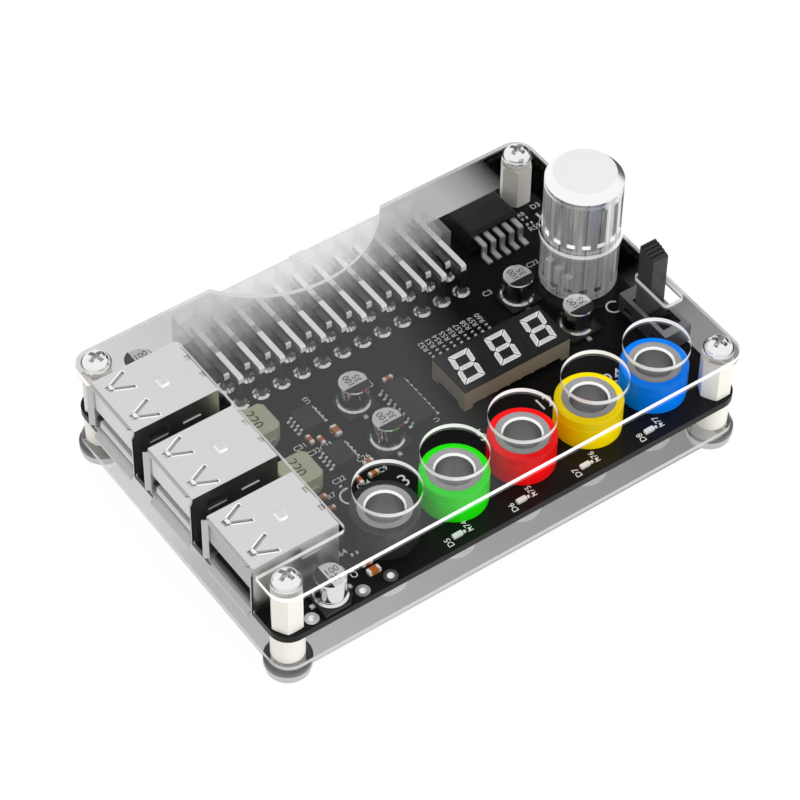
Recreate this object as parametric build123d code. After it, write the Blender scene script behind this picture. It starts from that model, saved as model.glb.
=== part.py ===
from build123d import *
import math
import os

# Millimetres. The origin lies at the centre of the four feet, on the plane that they stand on.
# X runs along the row of round sockets, Y from those sockets to the pin header, +Z is up.
# An inset is measured from the board's edge: west is -X, east +X, south -Y and north +Y.

# Stack of plates
foot_height = 2.5
foot_radius = 4.1
foot_rim_radius = 3.85
foot_rim_height = 0.7
foot_slope = 0.4
board_length = 94.1
board_width = 63.5
board_thickness = 1.4
plate_overhang = 0.2
plate_corner = 3.6
plate_thickness = 1.4
post_inset_x = 3.3
post_inset_y = 3.45
spacer_length = 6.0
spacer_radius = 2.9
standoff_length = 8.8
standoff_across_flats = 5.1
standoff_bevel = 0.3
stud_radius = 1.45
stud_clearance = 0.15
stud_length = 2.6
screw_head_radius = 2.65
screw_head_height = 1.9
screw_rim_height = 0.3
screw_rim_width = 0.28
screw_length = 4.2
recess_span = 2.9
recess_width = 0.8
recess_depth = 1.1
recess_turn = 20.0

# Cut-outs of the top plate
port_cut_back_gap = 1.0
port_cut_side_gap = 0.78
port_cut_corner = 1.0
arc_radius = 21.5
arc_depth = 9.3
socket_hole_shifts_x = (0.93, 0.53, 0.41, 1.62, 0.76)
socket_hole_shift_y = 0.72
socket_hole_radius = 5.8
knob_hole_gap = 0.47
lever_slot_side_gap = 0.4
lever_slot_end_gap = 0.62
lever_slot_corner = 0.7

# Pin header
pin_column_count = 12
pin_pitch = 4.2
header_middle = -1.15
pin_size = 1.05
pin_hole_gap = 0.06
pin_tail = 0.9
pin_near_inset = 17.0
pin_far_inset = 12.45
pin_high = 6.4
pin_low = 3.3
pin_tip_gap = 3.0
pin_point = 0.3
solder_radius = 1.55
solder_rim = 0.08
solder_waist = 1.05
solder_neck = 0.9
solder_height = 0.75
header_front_inset = 10.35
header_reach = 0.35
header_height = 8.1
header_overhang = 2.4
header_back_wall = 1.8
cell_width = 3.5
cell_height = 2.6
cell_corner = 0.8
latch_width = 2.8
latch_height = 0.6
latch_length = 1.7
latch_slope = 0.27
skirt_reach = 3.8
skirt_height = 1.6
skirt_notch_radius = 1.85
skirt_notch_back = 1.9

# Rectangular ports
port_middle = 0.05
port_corner_gap = 1.15
port_length = 16.45
port_width = 13.3
port_height = 11.25
port_sheet = 0.3
port_floor = 0.25
lip_length = 0.75
lip_flare = 0.5
lip_corner = 0.9
bottom_lip_drop = 1.45
port_board_gap = 0.05
insulator_gap = 0.05
insulator_recess = 0.35
insulator_back = 5.0
insulator_ledge = 6.2
insulator_slope = 0.9
tongue_width = 11.2
tongue_low = 0.9
tongue_thickness = 1.25
tongue_edge = 0.3
contact_inset = 1.6
contact_width = 1.1
contact_pitch = 2.4
contact_thickness = 0.12
contact_length = 7.5
spring_x = 1.85
spring_y = 3.75
spring_window = 1.3
spring_arm_length = 3.7
spring_arm_spread = 1.95
spring_slit = 0.26
spring_slit_end = 0.2
spring_tab_rise = 0.28
spring_tab_length = 0.78
spring_tab_width = 1.04
spring_neck = 1.2
spring_neck_spread = 0.86
spring_shoulder = 3.0
spring_shoulder_spread = 1.7
bump_x = 9.8
bump_length = 1.9
bump_width = 2.3
bump_corner = 0.5
bump_height = 0.4
bump_slope = 0.34
notch_offset = 2.3
notch_width = 1.3
notch_depth = 0.75
side_window_length = 3.6
side_window_height = 2.2
side_window_x = 2.9
side_window_top = 2.4
rib_x = 9.4
rib_length = 3.4
rib_height = 0.55
rib_rise = 0.18
rib_drop = 4.3

# Number display
display_left = 5.8
display_length = 22.2
display_front = -8.35
display_width = 9.4
display_height = 4.93
display_face_height = 0.35
display_foot = 1.6
display_foot_height = 1.0
display_foot_slope = 0.35
digit_inset = 3.7
digit_pitch = 7.6
digit_width = 3.35
digit_height = 5.75
digit_lean = 10.0
segment_width = 0.95
segment_gap = 0.16
segment_rise = 0.03
display_pins_each_side = 6
display_pin_pitch = 2.54
display_pin_size = 0.5
display_pin_inset = 0.95
display_pin_gap = 0.15

# Round sockets
socket_names = ("black", "green", "red", "yellow", "blue")
socket_west_inset = 26.66
socket_east_inset = 11.81
socket_south_inset = 9.61
socket_height = 6.47
sleeve_radius = 5.9
sleeve_edge = 0.3
sleeve_groove_drop = 2.1
sleeve_groove_depth = 0.14
insert_radius = 4.65
insert_gap = 0.04
bore_radius = 3.2
bore_chamfer = 0.35
bore_depth = 8.4
insert_stem_radius = 4.0
insert_tail = 1.6
insert_rise = 0.02

# Knob and potentiometer
knob_inset = 4.63
knob_y = 7.82
knob_radius = 6.93
knob_top_radius = 5.56
knob_base = 9.35
knob_length = 14.12
knob_chamfer_height = 1.55
knob_band = 0.55
knob_groove_width = 0.55
knob_groove_depth = 0.45
knob_groove_slope = 0.17
flute_count = 16
flute_first = 14.2
flute_width = 1.5
flute_depth = 0.45
flute_foot = 1.9
flute_head = 0.75
shaft_radius = 3.0
shaft_clearance = 0.05
knob_bore_depth = 9.5
pot_length = 9.6
pot_width = 9.8
pot_height = 4.9
pot_corner = 1.0
cover_thickness = 0.6
cover_tab_width = 2.2
cover_tab_length = 2.6
bushing_radius = 3.9
bushing_top = 8.3
lug_pitch = 2.6
lug_shift = 1.3
lug_width = 1.25
lug_hole_gap = 0.12
lug_thickness = 0.35
lug_rise = 4.2
lug_reach = 1.3
lug_tail = 0.9

# Slide switch
switch_inset = 2.45
switch_y = -10.75
switch_length = 12.9
switch_width = 5.6
switch_height = 4.0
switch_sheet = 0.35
switch_fold_gap = 0.05
window_length = 8.8
window_width = 3.9
switch_side_slot = 2.2
switch_slot_place = 3.87
lever_length = 3.7
lever_width = 3.2
lever_rest_y = -9.15
lever_top = 17.5
lever_top_drop = 1.1
lever_rib_pitch = 0.72
lever_rib_depth = 0.16
lever_travel = 4.0
slider_length = 5.6
slider_width = 4.2
slider_height = 1.3
slider_gap = 0.3
switch_wall = 0.45
switch_pin_pitch = 3.0
switch_pin_size = 0.7
switch_pin_gap = 0.2

# Capacitor cans
can_south_inset = 3.45
can_north_inset = 3.25
can_radius = 2.72
can_bottom = 0.7
can_height = 5.1
can_edge = 0.35
can_flare = 0.28
can_flare_height = 0.3
can_waist_depth = 0.08
can_waist_low = 0.6
can_waist_high = 0.85
can_waist_top = 1.15
can_base_size = 6.4
can_base_corner = 1.5
can_lead_width = 0.75
can_lead_reach = 4.0
can_lead_thickness = 0.3

# Power inductors
inductor_gap = 1.25
inductor_shifts = (-1.7, 3.07)
inductor_length = 6.6
inductor_width = 6.5
inductor_height = 4.0
inductor_edge = 0.2
inductor_corner = 0.8
inductor_lift = 0.25
inductor_tab_width = 4.0
inductor_tab_thickness = 0.35
inductor_tab_height = 1.2
inductor_ledge_height = 0.5

# Regulator
regulator_east_inset = 12.85
regulator_north_inset = 9.95
regulator_length = 10.2
regulator_width = 6.9
regulator_height = 4.2
regulator_slope = 0.5
regulator_tab_length = 1.3
regulator_tab_height = 1.1
regulator_lead_count = 5
regulator_pitch = 2.0
regulator_lead_width = 0.95
regulator_lead_thickness = 0.45
regulator_lead_height = 3.1
regulator_lead_reach = 2.3
regulator_lead_foot = 2.3

# Flat chips: centre x, centre y, body width, body length, lead pitch, lead span
chips = (
    (-17.26, 5.0, 3.9, 4.6, 1.05, 6.0),
    (-17.26, -4.54, 3.9, 4.6, 1.05, 6.0),
    (-0.93, -1.55, 4.3, 10.0, 1.27, 6.1),
)
chip_height = 1.3
chip_lift = 0.1
chip_edge = 0.12
chip_lead_width = 0.42
chip_lead_thickness = 0.15
chip_lead_foot = 0.6

# Small parts on pads
small_capacitor_height = 0.8
display_resistor_count = 9
display_resistor_inset = 2.97
display_resistor_pitch = 1.495
display_resistor_gap = 4.17
resistor_length = 1.0
resistor_width = 0.5
small_resistor_height = 0.35
lamp_shifts = (2.3, 1.45, 0.74, 0.42)
lamp_inset = 2.15
lamp_length = 1.6
lamp_width = 0.8
lamp_height = 0.6
lamp_resistor_offset = 1.9
eyelet_insets_x = (6.75, 16.7, 22.18)
eyelet_inset_y = 1.55
eyelet_radius = 1.25
eyelet_bore = 0.65
eyelet_flange = 0.15
eyelet_wall = 0.3

# Levels of the stack
bottom_plate_bottom = foot_height
bottom_plate_top = bottom_plate_bottom + plate_thickness
board_bottom = bottom_plate_top + spacer_length
board_top = board_bottom + board_thickness
top_plate_bottom = board_top + standoff_length
top_plate_top = top_plate_bottom + plate_thickness

# Edges of the board and of the clear plates
east = board_length / 2
west = -east
north = board_width / 2
south = -north
plate_length = board_length + 2 * plate_overhang
plate_width = board_width + 2 * plate_overhang

# Places worked out from those edges
post_places = [(x, y) for x in (west + post_inset_x, east - post_inset_x)
               for y in (south + post_inset_y, north - post_inset_y)]
stud_hole_radius = stud_radius + stud_clearance
pin_xs = [header_middle + pin_pitch * (i - (pin_column_count - 1) / 2) for i in range(pin_column_count)]
pin_row_near = north - pin_near_inset
pin_row_far = north - pin_far_inset
header_front = north - header_front_inset
header_mouth = north + header_reach
port_front = west - plate_overhang
port_back = port_front + port_length
port_pitch = north - can_south_inset - can_radius - can_flare - port_corner_gap - port_width / 2
port_centres = [port_middle + port_pitch * i for i in (-1, 0, 1)]
socket_pitch = (board_length - socket_west_inset - socket_east_inset) / (len(socket_names) - 1)
socket_xs = [west + socket_west_inset + socket_pitch * i for i in range(len(socket_names))]
socket_y = south + socket_south_inset
knob_x = east - knob_inset
switch_x = east - switch_inset
inductor_x = port_back + inductor_gap + inductor_length / 2
inductor_rows = (port_middle + port_pitch / 2 + inductor_shifts[0], port_middle - port_pitch / 2 + inductor_shifts[1])
regulator_x = east - regulator_east_inset
regulator_front = north - regulator_north_inset
digit_first = display_left + digit_inset
display_resistor_y = display_front + display_width + display_resistor_gap
lamps_x = [x + socket_pitch / 2 + shift for x, shift in zip(socket_xs, lamp_shifts)]
lamp_y = south + lamp_inset
eyelets_x = [west + inset for inset in eyelet_insets_x]
eyelet_y = south + eyelet_inset_y

# Capacitor cans: centre x, centre y and the turn of their leads about Z
capacitors = (
    (-8.6, 3.7, 90),
    (-8.65, -6.3, 90),
    (east - 18.05, 7.9, 90),
    (east - 13.7, -3.5, 90),
    (west + 11.75, south + can_south_inset, 0),
    (west + 11.7, north - can_north_inset, 0),
)

# Parts on pads: centre x, centre y, length, width and turn about Z
small_capacitors = (
    (-14.59, 0.29, 2.0, 1.25, 90), (-19.34, 1.1, 1.6, 0.8, 90), (-17.85, -0.13, 1.6, 0.8, 90),
    (-0.71, 4.95, 1.6, 0.8, 0), (-14.17, -8.5, 1.6, 0.8, 0), (-14.83, -11.06, 1.6, 0.8, 0),
    (-17.62, -10.9, 1.6, 0.8, 90), (west + 22.09, inductor_rows[1] - 4.88, 1.6, 0.8, 0),
    (west + 21.96, inductor_rows[1] - 7.72, 1.6, 0.8, 0),
    (west + 20.36, south + 5.74, 1.6, 0.8, 0), (west + 20.41, south + 3.83, 2.0, 1.25, 0),
)
small_resistors = (
    (-20.86, -10.66, resistor_length, resistor_width, 90),
    (west + 19.91, south + 8.58, resistor_length, resistor_width, 0),
    (east - 5.33, north - 9.05, resistor_length, resistor_width, 0),
    (east - 5.35, north - 10.53, resistor_length, resistor_width, 0),
    (east - 2.05, north - 9.75, 1.7, 1.2, 0),
)
knob_hole_radius = knob_radius + knob_hole_gap
pin_hole_radius = pin_size / math.sqrt(2) + pin_hole_gap
insert_hole_radius = insert_stem_radius + insert_gap


# Box between two opposite corners, whose values may come in either order
def block(x0, x1, y0, y1, z0, z1):
    middle = Pos((x0 + x1) / 2, (y0 + y1) / 2, (z0 + z1) / 2)
    return middle * Box(abs(x1 - x0), abs(y1 - y0), abs(z1 - z0))


def rod(x, y, z0, z1, radius):
    return Pos(x, y, (z0 + z1) / 2) * Cylinder(radius, z1 - z0)


def slab(outline, z0, z1):
    return Pos(0, 0, z0) * extrude(outline, amount=z1 - z0, dir=(0, 0, 1))


def turned(profile):
    return revolve(Plane.XZ * make_face(Polyline(*profile, close=True)), Axis.Z)


# Closed outline of X and Z values, drawn out along Y to both sides of Y = 0
def side_profile(points, width):
    face = Plane.XZ * make_face(Polyline(*points, close=True))
    return extrude(face, amount=width / 2, both=True)


def plate(length, width, thickness, corner):
    return extrude(RectangleRounded(length, width, corner), amount=thickness)


def group(solids):
    return Compound(children=list(solids))


# Feet with a stud that goes up through the bottom plate into the spacer
def foot(x, y):
    disc = turned(
        [
            (0, 0),
            (foot_rim_radius, 0),
            (foot_rim_radius, foot_rim_height),
            (foot_radius, foot_rim_height + foot_slope),
            (foot_radius, foot_height),
            (0, foot_height),
        ]
    )
    stud = rod(0, 0, foot_height, bottom_plate_top + stud_length, stud_radius)
    return Pos(x, y, 0) * (disc + stud)


def bottom_plate():
    sheet = Pos(0, 0, bottom_plate_bottom) * plate(plate_length, plate_width, plate_thickness, plate_corner)
    for x, y in post_places:
        sheet -= rod(x, y, bottom_plate_bottom, bottom_plate_top, stud_hole_radius)
    return sheet


# Round spacer between the bottom plate and the board, drilled right through
def lower_spacer(x, y):
    body = rod(x, y, bottom_plate_top, board_bottom, spacer_radius)
    return body - rod(x, y, bottom_plate_top, board_bottom, stud_hole_radius)


# Six-sided standoff with bevelled ends, a stud below and a threaded hole above
def hex_standoff(x, y):
    prism = slab(RegularPolygon(standoff_across_flats / 2, 6, major_radius=False), board_top, top_plate_bottom)
    corner = standoff_across_flats / math.sqrt(3)
    bevel = turned(
        [
            (0, board_top),
            (corner - standoff_bevel, board_top),
            (corner, board_top + standoff_bevel / 2),
            (corner, top_plate_bottom - standoff_bevel / 2),
            (corner - standoff_bevel, top_plate_bottom),
            (0, top_plate_bottom),
        ]
    )
    stud = rod(0, 0, board_top - board_thickness - stud_length, board_top, stud_radius)
    hole = rod(0, 0, top_plate_bottom - screw_length, top_plate_bottom, stud_hole_radius)
    return Pos(x, y, 0) * ((prism & bevel) + stud - hole)


# Pan-head screw with a cross recess
def top_screw(x, y):
    dome_height = screw_head_height - screw_rim_height
    steps = 6
    dome_radius = screw_head_radius - screw_rim_width
    profile = [(0, 0), (screw_head_radius, 0), (screw_head_radius, screw_rim_height)]
    for i in range(steps + 1):
        angle = math.pi / 2 * i / steps
        profile.append((dome_radius * math.cos(angle), screw_rim_height + dome_height * math.sin(angle)))
    profile[-1] = (0, screw_head_height)
    head = turned(profile)
    for turn in (0, 90):
        arm = Box(recess_span, recess_width, recess_depth)
        head -= Pos(0, 0, screw_head_height - recess_depth / 2) * Rot(0, 0, turn + recess_turn) * arm
    shank_length = plate_thickness + screw_length - stud_clearance
    shank = rod(0, 0, -shank_length, 0, stud_radius)
    return Pos(x, y, top_plate_top) * (head + shank)


def top_plate():
    sheet = Pos(0, 0, top_plate_bottom) * plate(plate_length, plate_width, plate_thickness, plate_corner)
    low = top_plate_bottom
    high = top_plate_top
    for x, y in post_places:
        sheet -= rod(x, y, low, high, stud_hole_radius)
    cut_half = port_pitch + port_width / 2 + port_cut_side_gap
    cut_front = port_front - 2 * port_cut_corner
    cut_back = port_back + port_cut_back_gap
    cut = RectangleRounded(cut_back - cut_front, 2 * cut_half, port_cut_corner)
    sheet -= slab(Pos((cut_front + cut_back) / 2, port_middle) * cut, low, high)
    arc_centre_y = plate_width / 2 - arc_depth + arc_radius
    sheet -= rod(header_middle, arc_centre_y, low, high, arc_radius)
    for x, shift in zip(socket_xs, socket_hole_shifts_x):
        sheet -= rod(x + shift, socket_y + socket_hole_shift_y, low, high, socket_hole_radius)
    sheet -= rod(knob_x, knob_y, low, high, knob_hole_radius)
    slot_width = lever_width + 2 * lever_slot_side_gap
    slot_length = lever_length + lever_travel + 2 * lever_slot_end_gap
    slot = RectangleRounded(slot_width, slot_length, lever_slot_corner)
    sheet -= slab(Pos(switch_x, lever_rest_y - lever_travel / 2) * slot, low, high)
    return sheet


def circuit_board():
    sheet = Pos(0, 0, board_bottom) * plate(board_length, board_width, board_thickness, plate_corner)
    holes = [(x, y, stud_hole_radius) for x, y in post_places]
    holes += [(x, y, pin_hole_radius) for x in pin_xs for y in (pin_row_near, pin_row_far)]
    holes += [(x, socket_y, insert_hole_radius) for x in socket_xs]
    holes += [(x, eyelet_y, eyelet_radius - eyelet_wall) for x in eyelets_x]
    holes += [(x, y, display_pin_size / 2 + display_pin_gap) for x, y in display_pin_places()]
    holes += [(x, y, lug_width / 2 + lug_hole_gap) for x, y in lug_places()]
    holes += [(x, y, switch_pin_size / 2 + switch_pin_gap) for x, y in switch_pin_places()]
    return sheet - [rod(x, y, board_bottom, board_top, radius) for x, y, radius in holes]


# Header block: two rows of cells open towards +Y, a latch bump on top and a notched skirt at its foot
def header_housing():
    left = pin_xs[0] - header_overhang
    right = pin_xs[-1] + header_overhang
    low = board_top
    body = block(left, right, header_front, header_mouth, low, low + header_height)
    cell = RectangleRounded(cell_width, cell_height, cell_corner)
    depth = header_mouth - header_front - header_back_wall
    half = pin_size / 2
    hollows = []
    for x in pin_xs:
        for level in (pin_low, pin_high):
            mouth = Plane(origin=(x, header_mouth, low + level), x_dir=(1, 0, 0), z_dir=(0, 1, 0))
            hollows.append(extrude(mouth * cell, amount=-depth))
            hollows.append(block(x - half, x + half, header_front, header_mouth - depth,
                                 low + level - half, low + level + half))
    body -= hollows
    skirt = block(left, right, header_front - skirt_reach, header_front, low, low + skirt_height)
    round_end = header_front - skirt_notch_back
    for x in pin_xs:
        notch = rod(x, round_end, low, low + skirt_height, skirt_notch_radius)
        notch += block(x - skirt_notch_radius, x + skirt_notch_radius, header_front - skirt_reach, round_end,
                       low, low + skirt_height)
        skirt -= notch
    body += skirt
    middle = (left + right) / 2
    latch = block(middle - latch_width / 2, middle + latch_width / 2,
                  header_mouth - latch_length, header_mouth, low + header_height, low + header_height + latch_height)
    return body + chamfer(latch.edges().filter_by(Axis.X).sort_by(Axis.Z)[-2:], latch_slope)


# Square pin: level arm inside the header, then down through the board
def header_pin(x, row, level):
    half = pin_size / 2
    tip = header_mouth - pin_tip_gap
    low = board_bottom - pin_tail
    high = board_top + level + half
    points = [
        (row - half, low),
        (row + half, low),
        (row + half, high - pin_size),
        (tip, high - pin_size),
        (tip + pin_point, high - pin_size + pin_point),
        (tip + pin_point, high - pin_point),
        (tip, high),
        (row + half - pin_size + pin_point, high),
        (row - half, high - pin_point),
    ]
    face = Plane.YZ * make_face(Polyline(*points, close=True))
    return Pos(x, 0, 0) * extrude(face, amount=half, both=True)


# Solder cone round a pin
def solder_cone(x, y):
    cone = turned(
        [
            (0, 0),
            (solder_radius, 0),
            (solder_radius, solder_rim),
            (solder_waist, solder_height / 2),
            (solder_neck, solder_height),
            (0, solder_height),
        ]
    )
    pin = Box(pin_size, pin_size, 4 * solder_height)
    return Pos(x, y, board_top) * (cone - pin)


# Folded sheet shell of a port, with flared lips round its mouth
def port_shell(centre):
    half = port_width / 2
    low = port_board_gap
    back = port_back
    top = port_height
    inner = half - port_sheet
    shell = block(port_front, back, -half, half, low, top)
    shell -= block(port_front, back - port_sheet, -inner, inner, low + port_floor, top - port_sheet)
    shell += side_profile(
        [
            (port_front, top - port_sheet),
            (port_front, top),
            (port_front - lip_length, top + lip_flare),
            (port_front - lip_length, top + lip_flare - port_sheet),
        ],
        2 * (half - lip_corner),
    )
    shell += side_profile(
        [
            (port_front, low + port_floor),
            (port_front - lip_length, low + port_floor - bottom_lip_drop + port_sheet),
            (port_front - lip_length, low + port_floor - bottom_lip_drop - port_sheet),
            (port_front - port_board_gap, low),
            (port_front, low),
        ],
        2 * (half - lip_corner),
    )
    for side in (-1, 1):
        outline = [
            (port_front, side * inner),
            (port_front, side * half),
            (port_front - lip_length, side * (half + lip_flare)),
            (port_front - lip_length, side * (half + lip_flare - port_sheet)),
        ]
        shell += slab(make_face(Polyline(*outline, close=True)), low + lip_corner, top - lip_corner)
    for side in (-1, 1):
        shell = spring_cut(shell, side * spring_y, top)
        shell -= block(back - notch_depth, back, side * notch_offset - notch_width / 2,
                       side * notch_offset + notch_width / 2, top - port_sheet, top)
        window_low = top - side_window_top - side_window_height
        window_x = port_front + side_window_x
        shell -= block(window_x, window_x + side_window_length, side * half - port_sheet,
                       side * half + port_sheet, window_low, window_low + side_window_height)
        rib_low = top - rib_drop
        rib_x0 = port_front + rib_x
        rib = block(rib_x0, rib_x0 + rib_length, side * inner, side * (half + rib_rise), rib_low, rib_low + rib_height)
        shell += rib
    bump = extrude(RectangleRounded(bump_length, bump_width, bump_corner), amount=port_sheet + bump_height)
    shell += Pos(port_front + bump_x, 0, top - port_sheet) * chamfer(bump.edges().group_by(Axis.Z)[-1], bump_slope)
    return Pos(0, centre, board_top) * shell


# Contact spring pressed out of the shell's top: a window, a raised tab and two curved slits
def spring_cut(shell, y, top):
    x = port_front + spring_x
    half = spring_window / 2
    low = top - port_sheet
    shell -= block(x - half, x + half, y - half, y + half, low, top)
    for side in (-1, 1):
        path = Spline(
            (x + half - spring_slit, y + side * (half - spring_slit / 2)),
            (x + spring_neck, y + side * spring_neck_spread),
            (x + spring_shoulder, y + side * spring_shoulder_spread),
            (x + spring_arm_length, y + side * spring_arm_spread),
        )
        shell -= slab(trace(path, line_width=spring_slit), low, top)
        shell -= rod(x + spring_arm_length, y + side * spring_arm_spread, low, top, spring_slit_end)
    tab = side_profile(
        [
            (x + half, low),
            (x + half, top),
            (x + half - spring_tab_length, top + spring_tab_rise),
            (x + half - spring_tab_length, top + spring_tab_rise - port_sheet),
        ],
        spring_tab_width,
    )
    return shell + Pos(0, y, 0) * tab


# Insulator of a port: back block, ledge under the top and the contact tongue
def port_insulator(centre):
    half = port_width / 2 - port_sheet - insulator_gap
    low = port_board_gap + port_floor + insulator_gap
    top = port_height - port_sheet - insulator_gap
    back = port_back - port_sheet - insulator_gap
    inside = back - insulator_back
    body = block(inside, back, -half, half, low, top)
    ledge = block(port_front + insulator_recess, back, -half, half, top - insulator_ledge, top)
    body += chamfer(ledge.edges().group_by(Axis.X)[0].sort_by(Axis.Z)[-1], insulator_slope)
    tongue = block(port_front + insulator_recess, back, -tongue_width / 2, tongue_width / 2,
                   tongue_low, tongue_low + tongue_thickness)
    front_edges = tongue.edges().group_by(Axis.X)[0]
    return Pos(0, centre, board_top) * (body + chamfer(front_edges, tongue_edge))


def port_contact(centre, index):
    y = contact_pitch * (index - 1.5)
    x = port_front + insulator_recess + contact_inset
    z = tongue_low + tongue_thickness
    strip = block(x, x + contact_length, y - contact_width / 2, y + contact_width / 2, z, z + contact_thickness)
    return Pos(0, centre, board_top) * strip


# Display body: hollow box on four corner feet
def display_housing():
    left = display_left
    right = left + display_length
    front = display_front
    back = front + display_width
    low = board_top
    top = low + display_height - display_face_height
    body = block(left, right, front, back, low, top)
    side_cut = [
        (left + display_foot, low),
        (left + display_foot + display_foot_slope, low + display_foot_height),
        (right - display_foot - display_foot_slope, low + display_foot_height),
        (right - display_foot, low),
    ]
    face = Plane.XZ * make_face(Polyline(*side_cut, close=True))
    body -= Pos(0, (front + back) / 2, 0) * extrude(face, amount=display_width, both=True)
    end_cut = [
        (front + display_foot, low),
        (front + display_foot + display_foot_slope, low + display_foot_height),
        (back - display_foot - display_foot_slope, low + display_foot_height),
        (back - display_foot, low),
    ]
    face = Plane.YZ * make_face(Polyline(*end_cut, close=True))
    body -= Pos((left + right) / 2, 0, 0) * extrude(face, amount=display_length, both=True)
    for x, y in display_pin_places():
        body -= rod(x, y, low + display_foot_height, low + display_foot_height * 2, display_pin_size / 2 + display_pin_gap)
    return body


def display_pin_places():
    middle = display_left + display_length / 2
    xs = [middle + display_pin_pitch * (i - (display_pins_each_side - 1) / 2) for i in range(display_pins_each_side)]
    rows = (display_front + display_pin_inset, display_front + display_width - display_pin_inset)
    return [(x, y) for x in xs for y in rows]


def display_pin(x, y):
    half = display_pin_size / 2
    return block(x - half, x + half, y - half, y + half, board_bottom - pin_tail,
                 board_top + display_foot_height * 2)


# One digit as seven outlines; the lean shifts every point sideways with its height
def digit_outlines():
    w = digit_width / 2
    h = digit_height / 2
    s = segment_width / 2
    g = segment_gap / math.sqrt(2)
    level = [(-w + g - s, s), (w - g + s, s), (w - g - s, -s), (-w + g + s, -s)]
    top = [(x, y + h) for x, y in level]
    bottom = [(x, -y - h) for x, y in level]
    middle = [(-w + g, 0), (-w + g + s, s), (w - g - s, s), (w - g, 0), (w - g - s, -s), (-w + g + s, -s)]
    upright = [(w, g), (w + s, g + s), (w + s, h - g + s), (w - s, h - g - s), (w - s, g + s)]
    outlines = [top, bottom, middle]
    for sx in (-1, 1):
        for sy in (-1, 1):
            outlines.append([(sx * x, sy * y) for x, y in upright])
    lean = math.tan(math.radians(digit_lean))
    return [[(x + y * lean, y) for x, y in outline] for outline in outlines]


def segment_places():
    y = display_front + display_width / 2
    return [(digit_first + digit_pitch * i, y) for i in range(3)]


def display_face():
    top = board_top + display_height
    low = top - display_face_height
    sheet = block(display_left, display_left + display_length, display_front, display_front + display_width, low, top)
    return sheet - segment_bars(low, top)


def segment_bars(low, top):
    return [
        Pos(x, y, 0) * slab(make_face(Polyline(*outline, close=True)), low, top)
        for x, y in segment_places()
        for outline in digit_outlines()
    ]


def display_segments():
    top = board_top + display_height
    return group(segment_bars(top - display_face_height, top + segment_rise))


# Coloured sleeve round the metal insert of a round socket
def socket_sleeve(x):
    groove = socket_height - sleeve_groove_drop
    inner = insert_radius + insert_gap
    profile = [
        (inner, 0),
        (sleeve_radius, 0),
        (sleeve_radius, groove - sleeve_groove_depth),
        (sleeve_radius - sleeve_groove_depth, groove),
        (sleeve_radius, groove + sleeve_groove_depth),
        (sleeve_radius, socket_height - sleeve_edge),
        (sleeve_radius - sleeve_edge, socket_height),
        (inner, socket_height),
    ]
    return Pos(x, socket_y, board_top) * turned(profile)


# Metal insert with a blind bore and a stem through the board
def socket_insert(x):
    top = socket_height + insert_rise
    low = -board_thickness - insert_tail
    floor = top - bore_depth
    profile = [
        (0, low),
        (insert_stem_radius, low),
        (insert_stem_radius, 0),
        (insert_radius, 0),
        (insert_radius, top),
        (bore_radius + bore_chamfer, top),
        (bore_radius, top - bore_chamfer),
        (bore_radius, floor),
        (0, floor),
    ]
    return Pos(x, socket_y, board_top) * turned(profile)


# Turned knob with flat-bottomed flutes that end in sloping feet
def knob():
    top = knob_length
    rim = top - knob_chamfer_height
    groove_high = rim - knob_band
    groove_low = groove_high - knob_groove_width
    neck = knob_radius - knob_groove_depth
    body = turned(
        [
            (0, 0),
            (knob_radius, 0),
            (knob_radius, groove_low),
            (neck, groove_low + knob_groove_slope),
            (neck, groove_high - knob_groove_slope),
            (knob_radius, groove_high),
            (knob_radius, rim),
            (knob_top_radius, top),
            (0, top),
        ]
    )
    floor = knob_radius - flute_depth
    outside = knob_radius + flute_depth
    low = flute_foot
    high = groove_low - flute_head
    cutter = side_profile(
        [
            (floor, low + flute_depth),
            (outside, low - flute_depth),
            (outside, high + flute_depth),
            (floor, high - flute_depth),
        ],
        flute_width,
    )
    body -= [Rot(0, 0, flute_first + 360 * i / flute_count) * cutter for i in range(flute_count)]
    body -= rod(0, 0, 0, knob_bore_depth, shaft_radius)
    return Pos(knob_x, knob_y, board_top + knob_base) * body


def potentiometer_shaft():
    low = board_top + pot_height
    high = board_top + knob_base + knob_bore_depth
    return rod(knob_x, knob_y, low, high, shaft_radius)


def potentiometer_body():
    low = board_top
    outline = RectangleRounded(pot_length, pot_width, pot_corner)
    return slab(Pos(knob_x, knob_y) * outline, low, low + pot_height)


# Metal cover with the bushing that guides the shaft and two folded tabs
def potentiometer_cover():
    low = board_top + pot_height
    sheet = slab(Pos(knob_x, knob_y) * RectangleRounded(pot_length, pot_width, pot_corner), low, low + cover_thickness)
    sheet += rod(knob_x, knob_y, low, board_top + bushing_top, bushing_radius)
    for side in (-1, 1):
        y0 = knob_y + side * pot_width / 2
        y1 = y0 + side * cover_thickness
        sheet += block(knob_x - cover_tab_width / 2, knob_x + cover_tab_width / 2, min(y0, y1), max(y0, y1),
                       low - cover_tab_length, low + cover_thickness)
    return sheet - rod(knob_x, knob_y, low, board_top + bushing_top, shaft_radius + shaft_clearance)


def lug_places():
    x = knob_x - pot_length / 2 - lug_reach
    return [(x, knob_y - lug_shift + lug_pitch * i) for i in (-1, 0, 1)]


# Flat terminal: level out of the body, then down through the board
def lug(x, y):
    high = board_top + lug_rise
    points = [
        (x, board_bottom - lug_tail),
        (x + lug_thickness, board_bottom - lug_tail),
        (x + lug_thickness, high - lug_thickness),
        (knob_x - pot_length / 2, high - lug_thickness),
        (knob_x - pot_length / 2, high),
        (x, high),
    ]
    return Pos(0, y, 0) * side_profile(points, lug_width)


def switch_pin_places():
    return [(switch_x, switch_y + switch_pin_pitch * i) for i in (-1, 0, 1)]


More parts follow.
